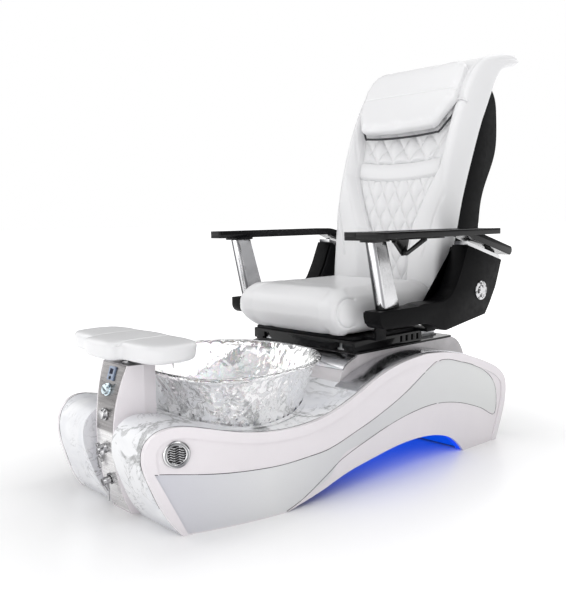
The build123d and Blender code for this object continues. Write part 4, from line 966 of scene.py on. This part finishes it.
def make_deck_lip():
    """The moulded lip of the deck, close round the basin."""
    verts = []
    for lift, grow in ((0.4, None), (1.6, None), (1.8, 6.0), (0.8, 3.0), (-8, 2.8), (-8, 12.0)):
        for u, v in bowl_plan:
            z = float(table(DECK, BOWL_Y + v * 240)) + lift
            half_w, half_l = (half + grow for half in bowl_half(z)) if grow else (300, 256)
            verts.append((u * half_w, BOWL_Y + v * half_l, z))
    lip = link_mesh("deck_lip", verts, grid(6, BOWL_POINTS, wrap_rows=True, wrap_cols=True), 60)
    dress(lip, "marble_acrylic", "base")


# ------------------------------ side cover trim
# Side view (y, z) of the inlay's outline.
INLAY_EDGE = [
    (-739, 179), (-696, 174), (-624, 163), (-548, 154), (-466, 148), (-377, 145), (-280, 149),
    (-190, 156), (-80, 184), (39, 219), (165, 267), (275, 323), (335, 349), (392, 350),
    (466, 332), (543, 310), (623, 276), (680, 232), (704, 176), (692, 100), (598, 141),
    (468, 182), (336, 202), (208, 196), (80, 174), (-39, 143), (-138, 112), (-192, 84),
    (-255, 50), (-307, 24), (-361, 4),
]
# Plan (y, x) of the covers' outer face, which turns in at the nose.
NOSE = [(-790, 236), (-673, 288), (-520, 335), (-363, 363), (-200, 373.5), (0, 375), (900, 375)]
nose_curve = through(NOSE, 300)
FIELD_INSET = 3.6
RIM_INSET = 14.3


def cover_x(y, inset):
    """x of the side cover's outer face at y, less an inset."""
    return np.interp(y, nose_curve[:, 0], nose_curve[:, 1]) - inset


def surface_x(names, side, y, z, fallback):
    """x where a level line from outside first meets the named CAD pieces, or the fallback."""
    start = Vector((side * 0.6, y / 1000, z / 1000))
    hits = [nodes[n].ray_cast(start, Vector((-side, 0, 0))) for n in names]
    found = [abs(hit[1].x) * 1000 for hit in hits if hit[0]]
    return max(found) if found and abs(max(found) - fallback) < 8 else fallback


# Thin dark tubes along the inlay's outline and the covers' rim: painted shade in the gaps.
def make_cover_lines():
    for side, panel, tag in ((1, "side_panel_right", "r"), (-1, "side_panel_left", "l")):
        path = []
        for y, z in through(INLAY_EDGE, 420):
            x = surface_x(("side_insets", panel), side, y, z, cover_x(y, FIELD_INSET))
            path.append((side * x, y, z))
        tube(f"inlay_gap_shade_{tag}", path, 0.9, "painted_shade_line", "base", sides=6)
        rim = [(side * cover_x(y, RIM_INSET), y, z) for y, z in through(SHOULDER, 300)]
        tube(f"cover_rim_shade_{tag}", rim, 0.8, "painted_shade_line", "base", sides=6)


# ------------------------------ vent grilles
VENT_AT = (283, -683, 227.0)
VENT_FACING = (0.9178, -0.3971)  # x and y of the way that the right grille faces
# Radius and rise of the ring's section, and of the dish behind the bars.
VENT_RING = [
    (37.6, -6), (37.6, 0.5), (37.0, 2.0), (34.5, 4.2), (31, 5.2), (27, 4.6), (25, 3.0), (24.4, -2),
]
VENT_DISH = [(24.8, -2.4), (24.8, -0.6), (16, 0.4), (6, 0.8)]
VENT_BARS = 7
BAR_PITCH = 6.6


def make_vent(side, tag):
    across, ahead = VENT_FACING
    centre = np.array([side * VENT_AT[0], *VENT_AT[1:]])
    out = np.array([side * across, ahead, 0.0])
    flat = np.array([side * -ahead, across, 0.0])
    upward = np.array([0, 0, 1.0])

    def rings(section, count):
        return [
            centre + flat * u + upward * v + out * rise
            for radius, rise in section
            for u, v in circle(radius, count)
        ]

    faces = grid(len(VENT_RING), 64, wrap_rows=True, wrap_cols=True)
    ring = link_mesh(f"vent_ring_{tag}", rings(VENT_RING, 64), faces, 50)
    replaced = ["vent_grilles"] if side > 0 else []
    dress(ring, "chrome", "base", "chrome", *replaced)
    faces = grid(4, 48, wrap_cols=True) + [tuple(range(48))[::-1], tuple(range(144, 192))]
    dish = link_mesh(f"vent_back_{tag}", rings(VENT_DISH, 48), faces, 50)
    dress(dish, "rubber_black", "base")
    for i in range(VENT_BARS):
        v0 = (i - 3) * BAR_PITCH
        reach = math.sqrt(max(24.6**2 - v0 * v0, 30)) - 0.4
        wave = [
            centre + flat * u + upward * (v0 + 2.0 * math.sin(u / 24 * 2 * math.pi)) + out * 2.6
            for u in np.linspace(-reach, reach, 40)
        ]
        tube(f"vent_bar_{tag}{i}", wave, 1.75, "chrome", "base")


# ------------------------------ carried-over CAD pieces
# Pieces shown with rounded edges: their look and the width of the rounding.
SOFTENED = {
    "arm_cover_left": ("black_satin", 5.0), "arm_cover_right": ("black_satin", 5.0),
    "armrest_left": ("black_gloss", 4.0), "armrest_right": ("black_gloss", 4.0),
    "tray_board": ("black_gloss", 1.6), "tray_bracket": ("black_gloss", 1.0),
    "front_posts": ("post_chrome", 1.5), "seat_carriage": ("black_gloss", 2.0),
    "top_plate": ("black_gloss", 1.5), "back_shell": ("black_satin", 5.0),
    "cross_handle": ("chrome", 1.4), "spray_handle": ("chrome", 1.4),
    "drain_lever": ("chrome", 1.4), "temperature_knob": ("knob_face", 1.0),
    "flow_knob": ("chrome", 1.0), "display_unit": ("screen", 0.8),
    "arm_bands": ("chrome", 2.0),
    "seat_frame": ("frame_steel", 1.0), "control_strip": ("brushed", 0.6),
}
# Pieces whose look differs from their record slot.
SPECIAL = {
    "pedestal_shell": "cloudy_pearl", "arch_liner": "liner_blue", "cover_caps": "cap_chrome",
}


def dress_cad():
    for node, obj in nodes.items():
        obj.data.materials.clear()
        obj.data.materials.append(LOOKS[SPECIAL.get(node, slot_of[node])])
    for node, (look, width) in SOFTENED.items():
        soften(node, look, width)


# The control strip's front is an arc in side view; the screen is a rounded rectangle on it.
STRIP_R = 563.0
STRIP_MIDDLE = (-175.0, 227.5)
STRIP_PROUD = 1.2
SCREEN_X = 4.0
SCREEN_Z = 417.0
SCREEN_HALF = (8.6, 7.6)
SCREEN_RISE = (4.4, 5.6)


def make_display_window():
    """The dark screen in the display's recess, on the curved control strip."""
    above = SCREEN_Z - STRIP_MIDDLE[1]
    slope = above / STRIP_R
    out = np.array([0, -math.cos(slope), math.sin(slope)])
    up = np.array([0, math.sin(slope), math.cos(slope)])
    front = STRIP_MIDDLE[0] - math.sqrt(STRIP_R**2 - above**2) - STRIP_PROUD
    centre = np.array([SCREEN_X, front, SCREEN_Z])

    def edge_point(wide, half):
        return math.copysign(min(abs(wide) * 1.5, half), wide)

    edge = []
    for u, v in circle(1.0, 32, 0.1):
        edge.append((edge_point(9.5 * u, SCREEN_HALF[0]), edge_point(8.5 * v, SCREEN_HALF[1])))
    verts, faces = prism(edge, *SCREEN_RISE, 0.4)
    verts = [centre + np.array([u, 0, 0]) + up * v + out * w for u, v, w in verts]
    dress(link_mesh("display_window", verts, faces, 40), "dark_glass", "base")


# ------------------------------ stage
FLOOR_HALF = 60000
FOOTPRINT = (0.36, 0.78, 0.0)  # half width and half length of the chair on the floor, metres
FLOOR_REACH = 2.6
# Brightness of what shiny pieces reflect, once round the horizon.
AROUND = (0.4, 0.7, 0.04, 0.8, 0.35, 0.02, 0.9, 0.6, 0.03, 0.75, 0.85, 0.03, 0.6, 0.4)
SOFT_LIGHT = 0.42
# Soft lights: place in metres, power in watts, size in metres.
LIGHTS = {
    "key": ((2.9, -1.4, 3.4), 56, 3.2),
    "fill": ((-3.2, -2.2, 2.2), 50, 3.4),
    "top": ((0.2, 0.4, 4.2), 44, 4.0),
    "rear": ((-0.8, 3.4, 2.4), 35, 3.4),
    "front": ((0.7, -3.8, 1.3), 24, 3.0),
}
LIT_POINT = (0, 0, 0.6)


def make_floor():
    """A plain floor with painted light: its own glow, none beside the chair, fades it to white with
    the distance from the chair.
    """
    corners = [(-1, -1), (1, -1), (1, 1), (-1, 1)]
    verts = [(x * FLOOR_HALF, y * FLOOR_HALF, 0) for x, y in corners]
    floor = link_mesh("floor", verts, [(0, 1, 2, 3)])
    look = Look("floor_white", (0.93, 0.93, 0.935), 0.3, Emission_Color=(1, 1, 1, 1))
    outside = look.coords
    steps = (("ABSOLUTE", None), ("SUBTRACT", FOOTPRINT), ("MAXIMUM", (0, 0, 0)), ("LENGTH", None))
    for step, value in steps:
        node = look.add("ShaderNodeVectorMath", operation=step)
        look.link(outside, node.inputs[0])
        if value:
            node.inputs[1].default_value = value
        outside = node.outputs["Value" if step == "LENGTH" else "Vector"]
    reach = look.remap(outside, 0.0, FLOOR_REACH)
    # Painted light: the floor glows more the farther it lies from the chair.
    glow = look.ramp(reach, (0.0, 0.0), (0.05, 0.10), (0.25, 0.30), (1.0, 0.9))
    look.link(glow, look.shader.inputs["Emission Strength"])
    floor.data.materials.append(look.mat)


def make_world():
    """White behind the chair, soft light from all round, and bands for the shiny pieces."""
    world = bpy.data.worlds.new("studio")
    scene.world = world
    world.use_nodes = True
    tree = world.node_tree
    link = tree.links.new

    def add(kind):
        return tree.nodes.new("ShaderNode" + kind)

    plain, around, soft = tree.nodes["Background"], add("Background"), add("Background")
    for shader, strength in ((plain, 1.0), (around, 1.0), (soft, SOFT_LIGHT)):
        shader.inputs["Color"].default_value = (1, 1, 1, 1)
        shader.inputs["Strength"].default_value = strength
    coords = add("TexCoord")
    split = add("SeparateXYZ")
    turn = add("Math")
    turn.operation = "ARCTAN2"
    ramp = add("ValToRGB")
    scaled = add("MapRange")
    scaled.inputs["From Min"].default_value = -math.pi
    scaled.inputs["From Max"].default_value = math.pi
    fill_ramp(ramp, [(i / (len(AROUND) - 1), tone) for i, tone in enumerate(AROUND)])
    path = add("LightPath")
    mirror = add("MixShader")
    choose = add("MixShader")
    link(coords.outputs["Generated"], split.inputs[0])
    link(split.outputs["X"], turn.inputs[0])
    link(split.outputs["Y"], turn.inputs[1])
    link(turn.outputs[0], scaled.inputs["Value"])
    link(scaled.outputs["Result"], ramp.inputs["Fac"])
    link(ramp.outputs["Color"], around.inputs["Color"])
    link(path.outputs["Is Glossy Ray"], mirror.inputs["Fac"])
    link(soft.outputs[0], mirror.inputs[1])
    link(around.outputs[0], mirror.inputs[2])
    link(path.outputs["Is Camera Ray"], choose.inputs["Fac"])
    link(mirror.outputs[0], choose.inputs[1])
    link(plain.outputs[0], choose.inputs[2])
    link(choose.outputs[0], tree.nodes["World Output"].inputs["Surface"])


def make_lights():
    for name, (at, power, size) in LIGHTS.items():
        data = bpy.data.lights.new(name, "AREA")
        data.energy = power
        data.size = size
        lamp = bpy.data.objects.new(name, data)
        lamp.location = at
        away = Vector(LIT_POINT) - Vector(at)
        lamp.rotation_euler = away.to_track_quat("-Z", "Y").to_euler()
        scene.collection.objects.link(lamp)
    scene.view_settings.view_transform = "Standard"


dress_cad()
make_back()
make_back_seams()
make_pillow()
make_pillow_shadow_line()
make_seat()
make_footrest()
make_basin()
make_deck_lip()
make_cover_lines()
make_vent(1, "r")
make_vent(-1, "l")
make_display_window()
make_floor()
make_world()
make_lights()
